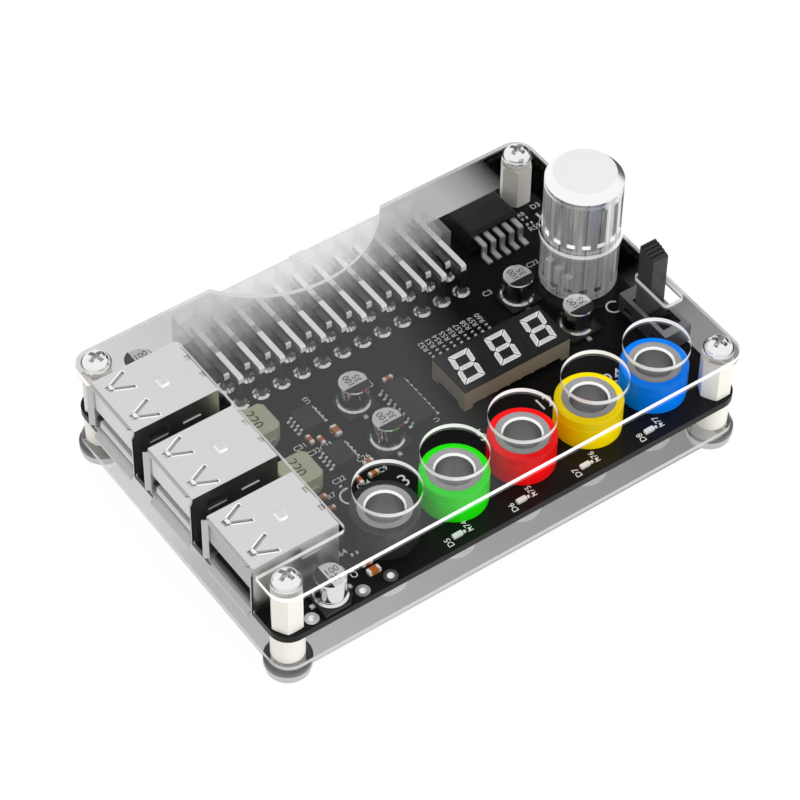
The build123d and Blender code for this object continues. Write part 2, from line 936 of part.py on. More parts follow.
# Switch base: open tray in which the slider runs
def switch_base():
    low = board_top
    half_x = switch_width / 2 - switch_sheet - switch_fold_gap
    half_y = switch_length / 2 - switch_sheet - switch_fold_gap
    top = low + switch_height - switch_sheet
    body = block(switch_x - half_x, switch_x + half_x, switch_y - half_y, switch_y + half_y, low, top)
    floor = top - slider_height - 2 * slider_gap
    body -= block(switch_x - slider_width / 2 - slider_gap, switch_x + slider_width / 2 + slider_gap,
                  switch_y - half_y + switch_wall, switch_y + half_y - switch_wall, floor, top)
    return body


# Folded sheet frame with a window for the lever and side slots
def switch_frame():
    low = board_top
    top = low + switch_height
    half_x = switch_width / 2
    half_y = switch_length / 2
    body = block(switch_x - half_x, switch_x + half_x, switch_y - half_y, switch_y + half_y, low, top)
    body -= block(switch_x - half_x + switch_sheet, switch_x + half_x - switch_sheet,
                  switch_y - half_y + switch_sheet, switch_y + half_y - switch_sheet, low, top - switch_sheet)
    middle = lever_rest_y - lever_travel / 2
    body -= block(switch_x - window_width / 2, switch_x + window_width / 2,
                  middle - window_length / 2, middle + window_length / 2, top - switch_sheet, top)
    for side in (-1, 1):
        y = switch_y + side * switch_slot_place
        body -= block(switch_x - half_x, switch_x + half_x, y - switch_side_slot / 2, y + switch_side_slot / 2,
                      low + 2 * switch_sheet, low + switch_height / 2)
    return body


def switch_terminal(x, y):
    half = switch_pin_size / 2
    return block(x - half, x + half, y - half, y + half, board_bottom - pin_tail, board_top)


# Lever with a curved, ribbed top and a wide slider foot
def switch_lever():
    foot_top = switch_height - switch_sheet - slider_gap
    foot_low = foot_top - slider_height
    steps = 5
    half = lever_length / 2
    points = [(-half, foot_top), (half, foot_top), (half, lever_top)]
    for i in range(1, steps + 1):
        share = i / steps
        points.append((half - lever_length * share, lever_top - lever_top_drop * share ** 2))
    face = Plane.YZ * make_face(Polyline(*points, close=True))
    lever = extrude(face, amount=lever_width / 2, both=True)
    for i in range(4):
        share = (i + 0.9) / steps
        y = half - lever_length * share
        z = lever_top - lever_top_drop * share ** 2
        lever -= Pos(0, y, z) * Box(lever_width, lever_rib_pitch / 2, 2 * lever_rib_depth)
    lever += block(-slider_width / 2, slider_width / 2, -slider_length / 2, slider_length / 2, foot_low, foot_top)
    return Pos(switch_x, lever_rest_y, board_top) * lever


# Rolled can with a flared rim, a waist above it and a rounded top edge
def capacitor_can(x, y, turn):
    profile = [
        (0, 0),
        (can_radius + can_flare, 0),
        (can_radius + can_flare, can_flare_height),
        (can_radius - can_waist_depth, can_waist_low),
        (can_radius - can_waist_depth, can_waist_high),
        (can_radius, can_waist_top),
        (can_radius, can_height - can_edge),
        (can_radius - can_edge / 3, can_height - can_edge / 3),
        (can_radius - can_edge, can_height),
        (0, can_height),
    ]
    return Pos(x, y, board_top + can_bottom) * turned(profile)


def capacitor_base(x, y, turn):
    half = can_base_size / 2
    outline = Polyline(
        (-half, -half),
        (half - can_base_corner, -half),
        (half, -half + can_base_corner),
        (half, half - can_base_corner),
        (half - can_base_corner, half),
        (-half, half),
        close=True,
    )
    body = slab(make_face(outline), 0, can_bottom)
    body -= block(-half, half, -can_lead_width / 2, can_lead_width / 2, 0, can_lead_thickness)
    return Pos(x, y, board_top) * Rot(0, 0, turn) * body


def capacitor_lead(x, y, turn, side):
    inner = can_base_size / 4
    x0 = min(side * inner, side * can_lead_reach)
    x1 = max(side * inner, side * can_lead_reach)
    lead = block(x0, x1, -can_lead_width / 2, can_lead_width / 2, 0, can_lead_thickness)
    return Pos(x, y, board_top) * Rot(0, 0, turn) * lead


# Moulded inductor body with bevelled top edges
def inductor(y):
    body = block(-inductor_length / 2, inductor_length / 2, -inductor_width / 2, inductor_width / 2,
                 inductor_lift, inductor_height)
    body = chamfer(body.edges().filter_by(Axis.Z), inductor_corner)
    body = chamfer(body.edges().group_by(Axis.Z)[-1], inductor_edge)
    reach = inductor_width / 2 + inductor_tab_thickness
    half = inductor_tab_width / 2
    body += block(-half, half, -reach, reach, inductor_tab_height, inductor_tab_height + inductor_ledge_height)
    return Pos(inductor_x, y, board_top) * body


# Folded terminal on the end of an inductor
def inductor_terminal(y, side):
    face = side * inductor_width / 2
    outer = face + side * inductor_tab_thickness
    half = inductor_tab_width / 2
    upright = block(-half, half, min(face, outer), max(face, outer), 0, inductor_tab_height)
    inner = face - side * inductor_tab_width / 2
    sole = block(-half, half, min(inner, outer), max(inner, outer), 0, inductor_lift)
    return Pos(inductor_x, y, board_top) * (upright + sole)


def regulator_body():
    x0 = regulator_x - regulator_length / 2
    x1 = regulator_x + regulator_length / 2
    back = regulator_front + regulator_width
    body = block(x0, x1, regulator_front, back, board_top, board_top + regulator_height)
    body = chamfer(body.edges().group_by(Axis.Z)[-1], regulator_slope)
    tab = block(x0 + regulator_slope, x1 - regulator_slope, back, back + regulator_tab_length,
                board_top, board_top + regulator_tab_height)
    return body + tab


# Lead bent down from the regulator's front to a foot on the board
def regulator_lead(index):
    x = regulator_x + regulator_pitch * (index - (regulator_lead_count - 1) / 2)
    t = regulator_lead_thickness
    top = board_top + regulator_lead_height
    knee = regulator_front - regulator_lead_reach
    toe = knee - regulator_lead_foot
    points = [
        (regulator_front, top - t),
        (regulator_front, top),
        (knee - t / 2, top),
        (knee - t, top - t / 2),
        (knee - t, board_top + t),
        (toe, board_top + t),
        (toe, board_top),
        (knee - t / 2, board_top),
        (knee, board_top + t / 2),
        (knee, top - t),
    ]
    face = Plane.YZ * make_face(Polyline(*points, close=True))
    return Pos(x, 0, 0) * extrude(face, amount=regulator_lead_width / 2, both=True)


def chip_body(x, y, width, length):
    low = board_top + chip_lift
    body = block(x - width / 2, x + width / 2, y - length / 2, y + length / 2, low, low + chip_height)
    return chamfer(body.edges().group_by(Axis.Z)[-1], chip_edge)


# Gull-wing lead on one side of a chip
def chip_lead(x, y, width, span, side):
    t = chip_lead_thickness
    middle = chip_lift + chip_height / 2
    start = width / 2
    end = span / 2
    points = [
        (start, middle),
        (start, middle + t),
        (end - chip_lead_foot, middle + t),
        (end - chip_lead_foot + t, t),
        (end, t),
        (end, 0),
        (end - chip_lead_foot, 0),
        (end - chip_lead_foot - t, middle),
    ]
    lead = side_profile([(side * px, pz) for px, pz in points], chip_lead_width)
    return Pos(x, y, board_top) * lead


def chip_leads():
    leads = []
    for x, y, width, length, pitch, span in chips:
        count = round(length / pitch)
        for i in range(count):
            offset = pitch * (i - (count - 1) / 2)
            for side in (-1, 1):
                leads.append(chip_lead(x, y + offset, width, span, side))
    return group(leads)


def pad_part(x, y, length, width, turn, height):
    return Pos(x, y, board_top + height / 2) * Rot(0, 0, turn) * Box(length, width, height)


def resistor_places():
    first = display_left + display_resistor_inset
    row = [
        (first + display_resistor_pitch * i, display_resistor_y, resistor_length, resistor_width, 90)
        for i in range(display_resistor_count)
    ]
    beside = [(x + lamp_resistor_offset, lamp_y, resistor_length, resistor_width, 0) for x in lamps_x]
    return row + beside + list(small_resistors)


# Plated ring in a board hole
def eyelet(x):
    barrel = eyelet_radius - eyelet_wall
    profile = [
        (eyelet_bore, -board_thickness),
        (barrel, -board_thickness),
        (barrel, 0),
        (eyelet_radius, 0),
        (eyelet_radius, eyelet_flange),
        (eyelet_bore, eyelet_flange),
    ]
    return Pos(x, eyelet_y, board_top) * turned(profile)


def write(name, shape):
    export_step(shape, f"parts/{name}.step")


os.makedirs("parts", exist_ok=True)
write("feet", group(foot(x, y) for x, y in post_places))
write("bottom_plate", bottom_plate())
write("lower_spacers", group(lower_spacer(x, y) for x, y in post_places))
write("circuit_board", circuit_board())
write("hex_standoffs", group(hex_standoff(x, y) for x, y in post_places))
write("top_plate", top_plate())
write("top_screws", group(top_screw(x, y) for x, y in post_places))
write("header_housing", header_housing())
write("header_pins_upper", group(header_pin(x, pin_row_near, pin_high) for x in pin_xs))
write("header_pins_lower", group(header_pin(x, pin_row_far, pin_low) for x in pin_xs))
write("header_solder", group(solder_cone(x, y) for x in pin_xs for y in (pin_row_near, pin_row_far)))
for number, centre in enumerate(port_centres, 1):
    write(f"port_shell_{number}", port_shell(centre))
    write(f"port_insulator_{number}", port_insulator(centre))
write("port_contacts", group(port_contact(centre, i) for centre in port_centres for i in range(4)))
write("display_housing", display_housing())
write("display_face", display_face())
write("display_segments", display_segments())
write("display_pins", group(display_pin(x, y) for x, y in display_pin_places()))
for name, x in zip(socket_names, socket_xs):
    write(f"socket_sleeve_{name}", socket_sleeve(x))
    write(f"socket_insert_{name}", socket_insert(x))
write("potentiometer_body", potentiometer_body())
write("potentiometer_cover", potentiometer_cover())
write("potentiometer_lugs", group(lug(x, y) for x, y in lug_places()))
write("potentiometer_shaft", potentiometer_shaft())
write("knob", knob())
write("switch_base", switch_base())
write("switch_frame", switch_frame())
write("switch_terminals", group(switch_terminal(x, y) for x, y in switch_pin_places()))
write("switch_lever", switch_lever())
for number, place in enumerate(capacitors, 1):
    write(f"capacitor_can_{number}", capacitor_can(*place))
write("capacitor_bases", group(capacitor_base(*place) for place in capacitors))
write("capacitor_leads", group(capacitor_lead(*place, side) for place in capacitors for side in (-1, 1)))
for number, y in enumerate(inductor_rows, 1):
    write(f"inductor_{number}", inductor(y))
write("inductor_terminals", group(inductor_terminal(y, side) for y in inductor_rows for side in (-1, 1)))
write("regulator_body", regulator_body())
write("regulator_leads", group(regulator_lead(i) for i in range(regulator_lead_count)))
write("chips", group(chip_body(*chip[:4]) for chip in chips))
write("chip_leads", chip_leads())
write("small_capacitors", group(pad_part(*place, small_capacitor_height) for place in small_capacitors))
write("small_resistors", group(pad_part(*place, small_resistor_height) for place in resistor_places()))
write("indicator_lamps", group(pad_part(x, lamp_y, lamp_length, lamp_width, 0, lamp_height) for x in lamps_x))
write("eyelets", group(eyelet(x) for x in eyelets_x))
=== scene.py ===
import math
import bpy
import numpy as np
from mathutils import Matrix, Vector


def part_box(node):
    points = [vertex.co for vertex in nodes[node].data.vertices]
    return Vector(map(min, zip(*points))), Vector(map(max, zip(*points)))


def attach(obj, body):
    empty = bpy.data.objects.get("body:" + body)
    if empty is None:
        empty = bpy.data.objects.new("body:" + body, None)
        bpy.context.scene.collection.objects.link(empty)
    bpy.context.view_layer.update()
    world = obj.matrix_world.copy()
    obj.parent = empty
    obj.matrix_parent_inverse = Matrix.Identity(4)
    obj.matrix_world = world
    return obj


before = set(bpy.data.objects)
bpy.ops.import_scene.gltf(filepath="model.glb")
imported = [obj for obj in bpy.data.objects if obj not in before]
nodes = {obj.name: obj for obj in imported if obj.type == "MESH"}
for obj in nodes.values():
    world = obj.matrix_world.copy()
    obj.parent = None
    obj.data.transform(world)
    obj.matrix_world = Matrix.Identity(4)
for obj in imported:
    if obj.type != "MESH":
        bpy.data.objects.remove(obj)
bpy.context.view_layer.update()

scene = bpy.context.scene
mm = 0.001

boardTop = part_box("circuit_board")[1].z
print("frame loaded:", len(nodes), "nodes")

# Looks of the clear plates, as shares of full
clear = {
    "mirror": 0.26,             # light that the top of a plate mirrors
    "underside": 0.02,          # and its underside
    "tint": 0.97,               # colour of what it mirrors
    "edgeBody": 0.10,           # how solid a cut edge looks outside its painted highlight line
    "paintedEdgeLine": 0.92,           # and within it
    "paintedLineLow": 0.38,            # the painted highlight line's place in the sheet's thickness
    "paintedLineHigh": 1.10,
    "paintedGlow": 0.30,               # painted glow that the edge gives by itself
    "rough": 0.01,
}


def newMaterial(name):
    mat = bpy.data.materials.new(name)
    mat.use_nodes = True
    return mat, mat.node_tree, mat.node_tree.nodes["Principled BSDF"]


def linkMath(tree, operation, first, second, clamp=False):
    # One Math node, each input either a socket or a number
    node = tree.nodes.new("ShaderNodeMath")
    node.operation = operation
    node.use_clamp = clamp
    for i, value in enumerate((first, second)):
        if isinstance(value, (int, float)):
            node.inputs[i].default_value = value
        else:
            tree.links.new(value, node.inputs[i])
    return node.outputs["Value"]


def mixNumbers(tree, factor, first, second):
    # first where the factor is 0, second where it is 1, each a socket or a number
    node = tree.nodes.new("ShaderNodeMix")
    node.data_type = "FLOAT"
    tree.links.new(factor, node.inputs[0])
    for i, value in ((2, first), (3, second)):
        if isinstance(value, (int, float)):
            node.inputs[i].default_value = value
        else:
            tree.links.new(value, node.inputs[i])
    return node.outputs[0]


def mixColors(tree, factor, first, second):
    node = tree.nodes.new("ShaderNodeMix")
    node.data_type = "RGBA"
    tree.links.new(factor, node.inputs["Factor"])
    for socket, value in (("A", first), ("B", second)):
        if isinstance(value, (tuple, list)):
            node.inputs[socket].default_value = tuple(value) + (1.0,)
        else:
            tree.links.new(value, node.inputs[socket])
    return node.outputs["Result"]


def mapRange(tree, value, fromMin, fromMax, toMin, toMax, smooth=False):
    node = tree.nodes.new("ShaderNodeMapRange")
    node.interpolation_type = "SMOOTHSTEP" if smooth else "LINEAR"
    node.inputs["From Min"].default_value = fromMin
    node.inputs["From Max"].default_value = fromMax
    node.inputs["To Min"].default_value = toMin
    node.inputs["To Max"].default_value = toMax
    tree.links.new(value, node.inputs["Value"])
    return node.outputs["Result"]


def greyRamp(tree, factor, stops):
    # Grey that follows a list of (position, grey)
    ramp = tree.nodes.new("ShaderNodeValToRGB")
    elements = ramp.color_ramp.elements
    elements[0].position, elements[1].position = stops[0][0], stops[-1][0]
    elements[0].color = (stops[0][1],) * 3 + (1,)
    elements[1].color = (stops[-1][1],) * 3 + (1,)
    for position, grey in stops[1:-1]:
        elements.new(position).color = (grey,) * 3 + (1,)
    tree.links.new(factor, ramp.inputs["Fac"])
    return ramp.outputs["Color"]


def objectNoise(tree, scale, detail=3.0):
    place = tree.nodes.new("ShaderNodeTexCoord")
    noise = tree.nodes.new("ShaderNodeTexNoise")
    noise.inputs["Scale"].default_value = scale
    noise.inputs["Detail"].default_value = detail
    tree.links.new(place.outputs["Object"], noise.inputs["Vector"])
    return noise.outputs["Fac"]


def placeOf(tree, shift=(0, 0, 0)):
    place = tree.nodes.new("ShaderNodeTexCoord")
    source = place.outputs["Object"]
    if any(shift):
        move = tree.nodes.new("ShaderNodeMapping")
        move.inputs["Location"].default_value = shift
        tree.links.new(source, move.inputs["Vector"])
        source = move.outputs["Vector"]
    at = tree.nodes.new("ShaderNodeSeparateXYZ")
    tree.links.new(source, at.inputs["Vector"])
    return at.outputs["X"], at.outputs["Y"], at.outputs["Z"]


def wayOf(tree):
    # The way that the surface itself faces out of the solid, whether it is met from outside or inside
    geometry = tree.nodes.new("ShaderNodeNewGeometry")
    outward = tree.nodes.new("ShaderNodeVectorMath")
    outward.operation = "SCALE"
    sign = linkMath(tree, "SUBTRACT", 1.0, linkMath(tree, "MULTIPLY", geometry.outputs["Backfacing"], 2.0))
    tree.links.new(geometry.outputs["True Normal"], outward.inputs[0])
    tree.links.new(sign, outward.inputs["Scale"])
    normal = tree.nodes.new("ShaderNodeSeparateXYZ")
    tree.links.new(outward.outputs["Vector"], normal.inputs["Vector"])
    return normal.outputs["X"], normal.outputs["Y"], normal.outputs["Z"]


def driftingRoughness(tree, shader, noise, rough, drift=0.15):
    rougher = mapRange(tree, noise, 0, 1, rough * (1 - drift), min(1.0, rough * (1 + drift)))
    tree.links.new(rougher, shader.inputs["Roughness"])


def plainMaterial(name, color, rough, metal=0.0, specular=0.5, grain=0.0, grainScale=700.0, paintedGlow=0.0):
    mat, tree, shader = newMaterial(name)
    shader.inputs["Metallic"].default_value = metal
    shader.inputs["Specular IOR Level"].default_value = specular
    noise = objectNoise(tree, grainScale)
    driftingRoughness(tree, shader, noise, rough)
    # Painted glow: the part gives light of its own colour though it is no lamp
    if paintedGlow:
        shader.inputs["Emission Color"].default_value = tuple(color) + (1.0,)
        shader.inputs["Emission Strength"].default_value = paintedGlow
    if grain == 0.0:
        shader.inputs["Base Color"].default_value = tuple(color) + (1.0,)
        return mat
    low = tuple(c * (1 - grain) for c in color)
    high = tuple(min(1.0, c * (1 + grain)) for c in color)
    tree.links.new(mixColors(tree, noise, low, high), shader.inputs["Base Color"])
    return mat


metalNoiseScale = 900.0


def paintedFacingMaterial(name, side, sideMetal, top, topMetal, rough, topLimit=0.9):
    # Painted light and shade: level and upright faces take their own grey and metal, told apart by the
    # surface's normal, on a part of one finish
    mat, tree, shader = newMaterial(name)
    isTop = linkMath(tree, "GREATER_THAN", wayOf(tree)[2], topLimit)
    tree.links.new(mixColors(tree, isTop, side, top), shader.inputs["Base Color"])
    tree.links.new(mixNumbers(tree, isTop, sideMetal, topMetal), shader.inputs["Metallic"])
    driftingRoughness(tree, shader, objectNoise(tree, metalNoiseScale), rough)
    return mat


# Painted light and shade of the port shells, a grey for each kind of face: painted highlight on slopes and
# tab, painted shade on the lip; lipEnd and tabEnd are mm from the mouth
shellLook = {
    "upright": 0.66, "level": 0.755, "slope": 0.92, "tabHighlight": 1.0, "lipShade": 0.50,
    "lipEnd": 0.8, "tabEnd": 4.2, "rough": 0.30,
}


def shellMaterial(name):
    # Satin sheet with painted light and shade: each face takes the grey of its kind, which its own normal
    # and its place along X tell; uprights are fully metal, level faces nearly not
    mat, tree, shader = newMaterial(name)
    nz = wayOf(tree)[2]
    x = placeOf(tree)[0]
    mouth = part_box("port_shell_1")[0].x
    isTop = linkMath(tree, "GREATER_THAN", nz, 0.30)
    isLevel = linkMath(tree, "GREATER_THAN", nz, 0.98)
    isSlope = linkMath(tree, "SUBTRACT", isTop, isLevel)
    atFront = linkMath(tree, "LESS_THAN", x, mouth + shellLook["tabEnd"] * mm)
    isLip = linkMath(tree, "LESS_THAN", x, mouth + shellLook["lipEnd"] * mm)
    isTab = linkMath(tree, "MULTIPLY", isSlope, linkMath(tree, "SUBTRACT", atFront, isLip))
    color = mixColors(tree, isTop, (shellLook["upright"],) * 3, (shellLook["level"],) * 3)
    for mask, shade in ((isSlope, "slope"), (isTab, "tabHighlight"), (isLip, "lipShade")):
        color = mixColors(tree, mask, color, (shellLook[shade],) * 3)
    tree.links.new(color, shader.inputs["Base Color"])
    tree.links.new(mixNumbers(tree, isTop, 1.0, 0.22), shader.inputs["Metallic"])
    driftingRoughness(tree, shader, objectNoise(tree, metalNoiseScale), shellLook["rough"])
    return mat


def insertMaterial(name):
    # Turned insert with painted light and shade by facing: a painted highlight on the chamfer at the mouth,
    # a darker ring on top set nearly not metal so that it looks satin, a greyer fully metal bore
    mat, tree, shader = newMaterial(name)
    nz = wayOf(tree)[2]
    isSlope = linkMath(tree, "GREATER_THAN", nz, 0.2)
    isTop = linkMath(tree, "GREATER_THAN", nz, 0.9)
    color = mixColors(tree, isSlope, (0.80, 0.80, 0.80), (0.97, 0.97, 0.97))
    tree.links.new(mixColors(tree, isTop, color, (0.40, 0.40, 0.40)), shader.inputs["Base Color"])
    tree.links.new(mixNumbers(tree, isTop, 1.0, 0.25), shader.inputs["Metallic"])
    rougher = mapRange(tree, objectNoise(tree, metalNoiseScale), 0, 1, 0.20, 0.28)
    tree.links.new(rougher, shader.inputs["Roughness"])
    return mat


def clearMaterial(name, node, edge):
    # Top faces mirror a little and let the rest through. Cut edges show a painted highlight: a bright line
    # of the grey edge within the sheet.
    mat, tree, shader = newMaterial(name)
    low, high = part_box(node)
    nz = wayOf(tree)[2]
    z = placeOf(tree)[2]
    isTop = linkMath(tree, "GREATER_THAN", nz, 0.5)
    isUnder = linkMath(tree, "LESS_THAN", nz, -0.5)
    isFace = linkMath(tree, "ADD", isTop, isUnder)
    isEdge = linkMath(tree, "SUBTRACT", 1.0, isFace)
    depth = mapRange(tree, z, low.z, high.z, 0.0, 1.0)
    inPaintedLine = linkMath(tree, "MULTIPLY", linkMath(tree, "GREATER_THAN", depth, clear["paintedLineLow"]),
                      linkMath(tree, "LESS_THAN", depth, clear["paintedLineHigh"]))
    edgeShare = mixNumbers(tree, inPaintedLine, clear["edgeBody"], clear["paintedEdgeLine"])
    edgeAlpha = linkMath(tree, "MULTIPLY", isEdge, edgeShare)
    topAlpha = linkMath(tree, "MULTIPLY", isTop, clear["mirror"])
    underAlpha = linkMath(tree, "MULTIPLY", isUnder, clear["underside"])
    alpha = linkMath(tree, "ADD", linkMath(tree, "ADD", topAlpha, underAlpha), edgeAlpha)
    tree.links.new(alpha, shader.inputs["Alpha"])
    tree.links.new(isFace, shader.inputs["Metallic"])
    color = mixColors(tree, isFace, (edge,) * 3, (clear["tint"],) * 3)
    tree.links.new(color, shader.inputs["Base Color"])
    tree.links.new(color, shader.inputs["Emission Color"])
    tree.links.new(linkMath(tree, "MULTIPLY", isEdge, clear["paintedGlow"]), shader.inputs["Emission Strength"])
    shader.inputs["Roughness"].default_value = clear["rough"]
    return mat


# The moulding's glow is a painted glow
milky = {"veilAtBack": 0.09, "veilAtMouth": 0.42, "paintedGlow": 0.04}


def milkyMaterial(name):
    # Translucent moulding: each wall adds a thin pale veil, thicker towards the mouth, and a faint painted
    # glow
    mat, tree, shader = newMaterial(name)
    shader.inputs["Base Color"].default_value = (0.84, 0.84, 0.84, 1.0)
    shader.inputs["Roughness"].default_value = 0.3
    shader.inputs["Specular IOR Level"].default_value = 0.2
    shader.inputs["Emission Color"].default_value = (1, 1, 1, 1)
    shader.inputs["Emission Strength"].default_value = milky["paintedGlow"]
    low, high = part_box("header_housing")
    veil = mapRange(tree, placeOf(tree)[1], low.y, high.y, milky["veilAtBack"], milky["veilAtMouth"])
    tree.links.new(veil, shader.inputs["Alpha"])
    return mat


# The bend is the last bendHeight mm at the top of a pin; bright is a painted highlight, bend and shank are
# painted shade
pinLook = {"bendHeight": 1.3, "bright": 0.95, "bend": 0.40, "shank": 0.08, "paintedGlow": 0.14}


def pinMaterial(name, node, topShade):
    # Square pins with painted light and shade: a painted highlight on the front face at the bend and on
    # level tops by the row's own share, painted shade on the uprights
    mat, tree, shader = newMaterial(name)
    ny, nz = wayOf(tree)[1:]
    z = placeOf(tree)[2]
    isTop = linkMath(tree, "GREATER_THAN", nz, 0.3)
    atBend = linkMath(tree, "GREATER_THAN", z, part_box(node)[1].z - pinLook["bendHeight"] * mm)
    isFront = linkMath(tree, "LESS_THAN", ny, -0.5)
    bend = linkMath(tree, "MULTIPLY", atBend, isFront)
    bright = linkMath(tree, "MAXIMUM", bend, linkMath(tree, "MULTIPLY", isTop, topShade))
    side = mixColors(tree, atBend, (pinLook["shank"],) * 3, (pinLook["bend"] * topShade,) * 3)
    tree.links.new(mixColors(tree, bright, side, (pinLook["bright"],) * 3), shader.inputs["Base Color"])
    tree.links.new(mixNumbers(tree, bright, 0.8, 0.1), shader.inputs["Metallic"])
    tree.links.new(linkMath(tree, "MULTIPLY", bright, pinLook["paintedGlow"]), shader.inputs["Emission Strength"])
    shader.inputs["Emission Color"].default_value = (1, 1, 1, 1)
    shader.inputs["Roughness"].default_value = 0.3
    return mat


# chamfer and top are the greys of a painted highlight on the knob's slope and top face
knobLook = {
    "streakScale": 3.0, "streakRange": (0.36, 0.62), "dark": 0.52, "pale": 0.88,
    "lineScale": 13.0, "lineRange": (0.30, 0.42), "lineShade": 0.45,
    "chamfer": 0.95, "top": 0.90,
}


def ringNoise(tree, angle, scale):
    noise = tree.nodes.new("ShaderNodeTexNoise")
    noise.noise_dimensions = "1D"
    noise.inputs["Scale"].default_value = scale
    noise.inputs["Detail"].default_value = 2.0
    tree.links.new(angle, noise.inputs["W"])
    return noise.outputs["Fac"]


def knobMaterial(name):
    # Turned metal: broad streaks and thin dark lines follow the angle round the knob's own axis. The
    # chamfer and top are set pale and nearly not metal against the fully metal sides: a painted highlight.
    low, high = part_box("knob")
    mat, tree, shader = newMaterial(name)
    x, y, z = placeOf(tree, (-(low.x + high.x) / 2, -(low.y + high.y) / 2, 0))
    angle = linkMath(tree, "ARCTAN2", y, x)
    streaks = ringNoise(tree, angle, knobLook["streakScale"])
    lines = ringNoise(tree, angle, knobLook["lineScale"])
    shade = mapRange(tree, streaks, *knobLook["streakRange"], knobLook["dark"], knobLook["pale"])
    darker = mapRange(tree, lines, *knobLook["lineRange"], knobLook["lineShade"], 1.0)
    shade = linkMath(tree, "MULTIPLY", shade, darker)
    side = tree.nodes.new("ShaderNodeCombineColor")
    for channel in ("Red", "Green", "Blue"):
        tree.links.new(shade, side.inputs[channel])
    nz = wayOf(tree)[2]
    isSlope = linkMath(tree, "GREATER_THAN", nz, 0.3)
    isTop = linkMath(tree, "GREATER_THAN", nz, 0.98)
    color = mixColors(tree, isSlope, side.outputs["Color"], (knobLook["chamfer"],) * 3)
    color = mixColors(tree, isTop, color, (knobLook["top"],) * 3)
    tree.links.new(color, shader.inputs["Base Color"])
    tree.links.new(mixNumbers(tree, isTop, 1.0, 0.08), shader.inputs["Metallic"])
    shader.inputs["Roughness"].default_value = 0.30
    return mat


tongueHeight = 3.4 * mm       # height above the board up to which the tongue is painted black as shade


def tongueMaterial(name):
    # Port insulator with painted shade: black tongue below, a shaded grey block above, on the same pale
    # plastic as the other ports' insulators
    mat, tree, shader = newMaterial(name)
    isHigh = linkMath(tree, "GREATER_THAN", placeOf(tree)[2], boardTop + tongueHeight)
    color = mixColors(tree, isHigh, (0.008, 0.008, 0.008), (0.50, 0.50, 0.50))
    tree.links.new(color, shader.inputs["Base Color"])
    shader.inputs["Roughness"].default_value = 0.45
    return mat


def paleTongueMaterial(name):
    # Port insulator: pale where the mouth shows it, painted shade on the flanks inside the shell
    mat, tree, shader = newMaterial(name)
    nx, ny, nz = wayOf(tree)
    atMouth = linkMath(tree, "LESS_THAN", nx, -0.4)
    shown = linkMath(tree, "MAXIMUM", atMouth, linkMath(tree, "GREATER_THAN", nz, 0.4))
    color = mixColors(tree, shown, (0.02, 0.02, 0.02), (0.78, 0.78, 0.78))
    tree.links.new(color, shader.inputs["Base Color"])
    shader.inputs["Roughness"].default_value = 0.4
    return mat


# Head and recess sizes in mm; deep is the painted shade of the recess
screwLook = {"head": 2.65, "recess": 1.6, "recessDepth": 0.55, "bright": 0.86, "deep": 0.58}


def screwMaterial(name):
    # Polished head, darkened by painted shade where sqrt(dx^2 + dy^2) from the screw's own axis is within
    # the recess
    low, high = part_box("top_screws")
    mat, tree, shader = newMaterial(name)
    x, y, z = placeOf(tree)
    axisX = (high.x - low.x) / 2 - screwLook["head"] * mm
    axisY = (high.y - low.y) / 2 - screwLook["head"] * mm
    dx = linkMath(tree, "SUBTRACT", linkMath(tree, "ABSOLUTE", x, 0), axisX)
    dy = linkMath(tree, "SUBTRACT", linkMath(tree, "ABSOLUTE", y, 0), axisY)
    squares = linkMath(tree, "ADD", linkMath(tree, "MULTIPLY", dx, dx), linkMath(tree, "MULTIPLY", dy, dy))
    inside = linkMath(tree, "LESS_THAN", linkMath(tree, "SQRT", squares, 0), screwLook["recess"] * mm)
    deep = linkMath(tree, "LESS_THAN", z, high.z - screwLook["recessDepth"] * mm)
    inRecess = linkMath(tree, "MULTIPLY", inside, deep)
    color = mixColors(tree, inRecess, (screwLook["bright"],) * 3, (screwLook["deep"],) * 3)
    tree.links.new(color, shader.inputs["Base Color"])
    shader.inputs["Metallic"].default_value = 1.0
    shader.inputs["Roughness"].default_value = 0.18
    return mat


# Height where the band starts in mm, greys of rim and band
footLook = {"bandLow": 1.7, "rim": 0.55, "band": 0.18}


def footMaterial(name):
    # Darker, less metal band above bandLow, a lighter, more metal rim below
    mat, tree, shader = newMaterial(name)
    isUpper = linkMath(tree, "GREATER_THAN", placeOf(tree)[2], footLook["bandLow"] * mm)
    color = mixColors(tree, isUpper, (footLook["rim"],) * 3, (footLook["band"],) * 3)
    tree.links.new(color, shader.inputs["Base Color"])
    tree.links.new(mixNumbers(tree, isUpper, 0.9, 0.2), shader.inputs["Metallic"])
    shader.inputs["Roughness"].default_value = 0.3
    shader.inputs["Specular IOR Level"].default_value = 0.2
    return mat
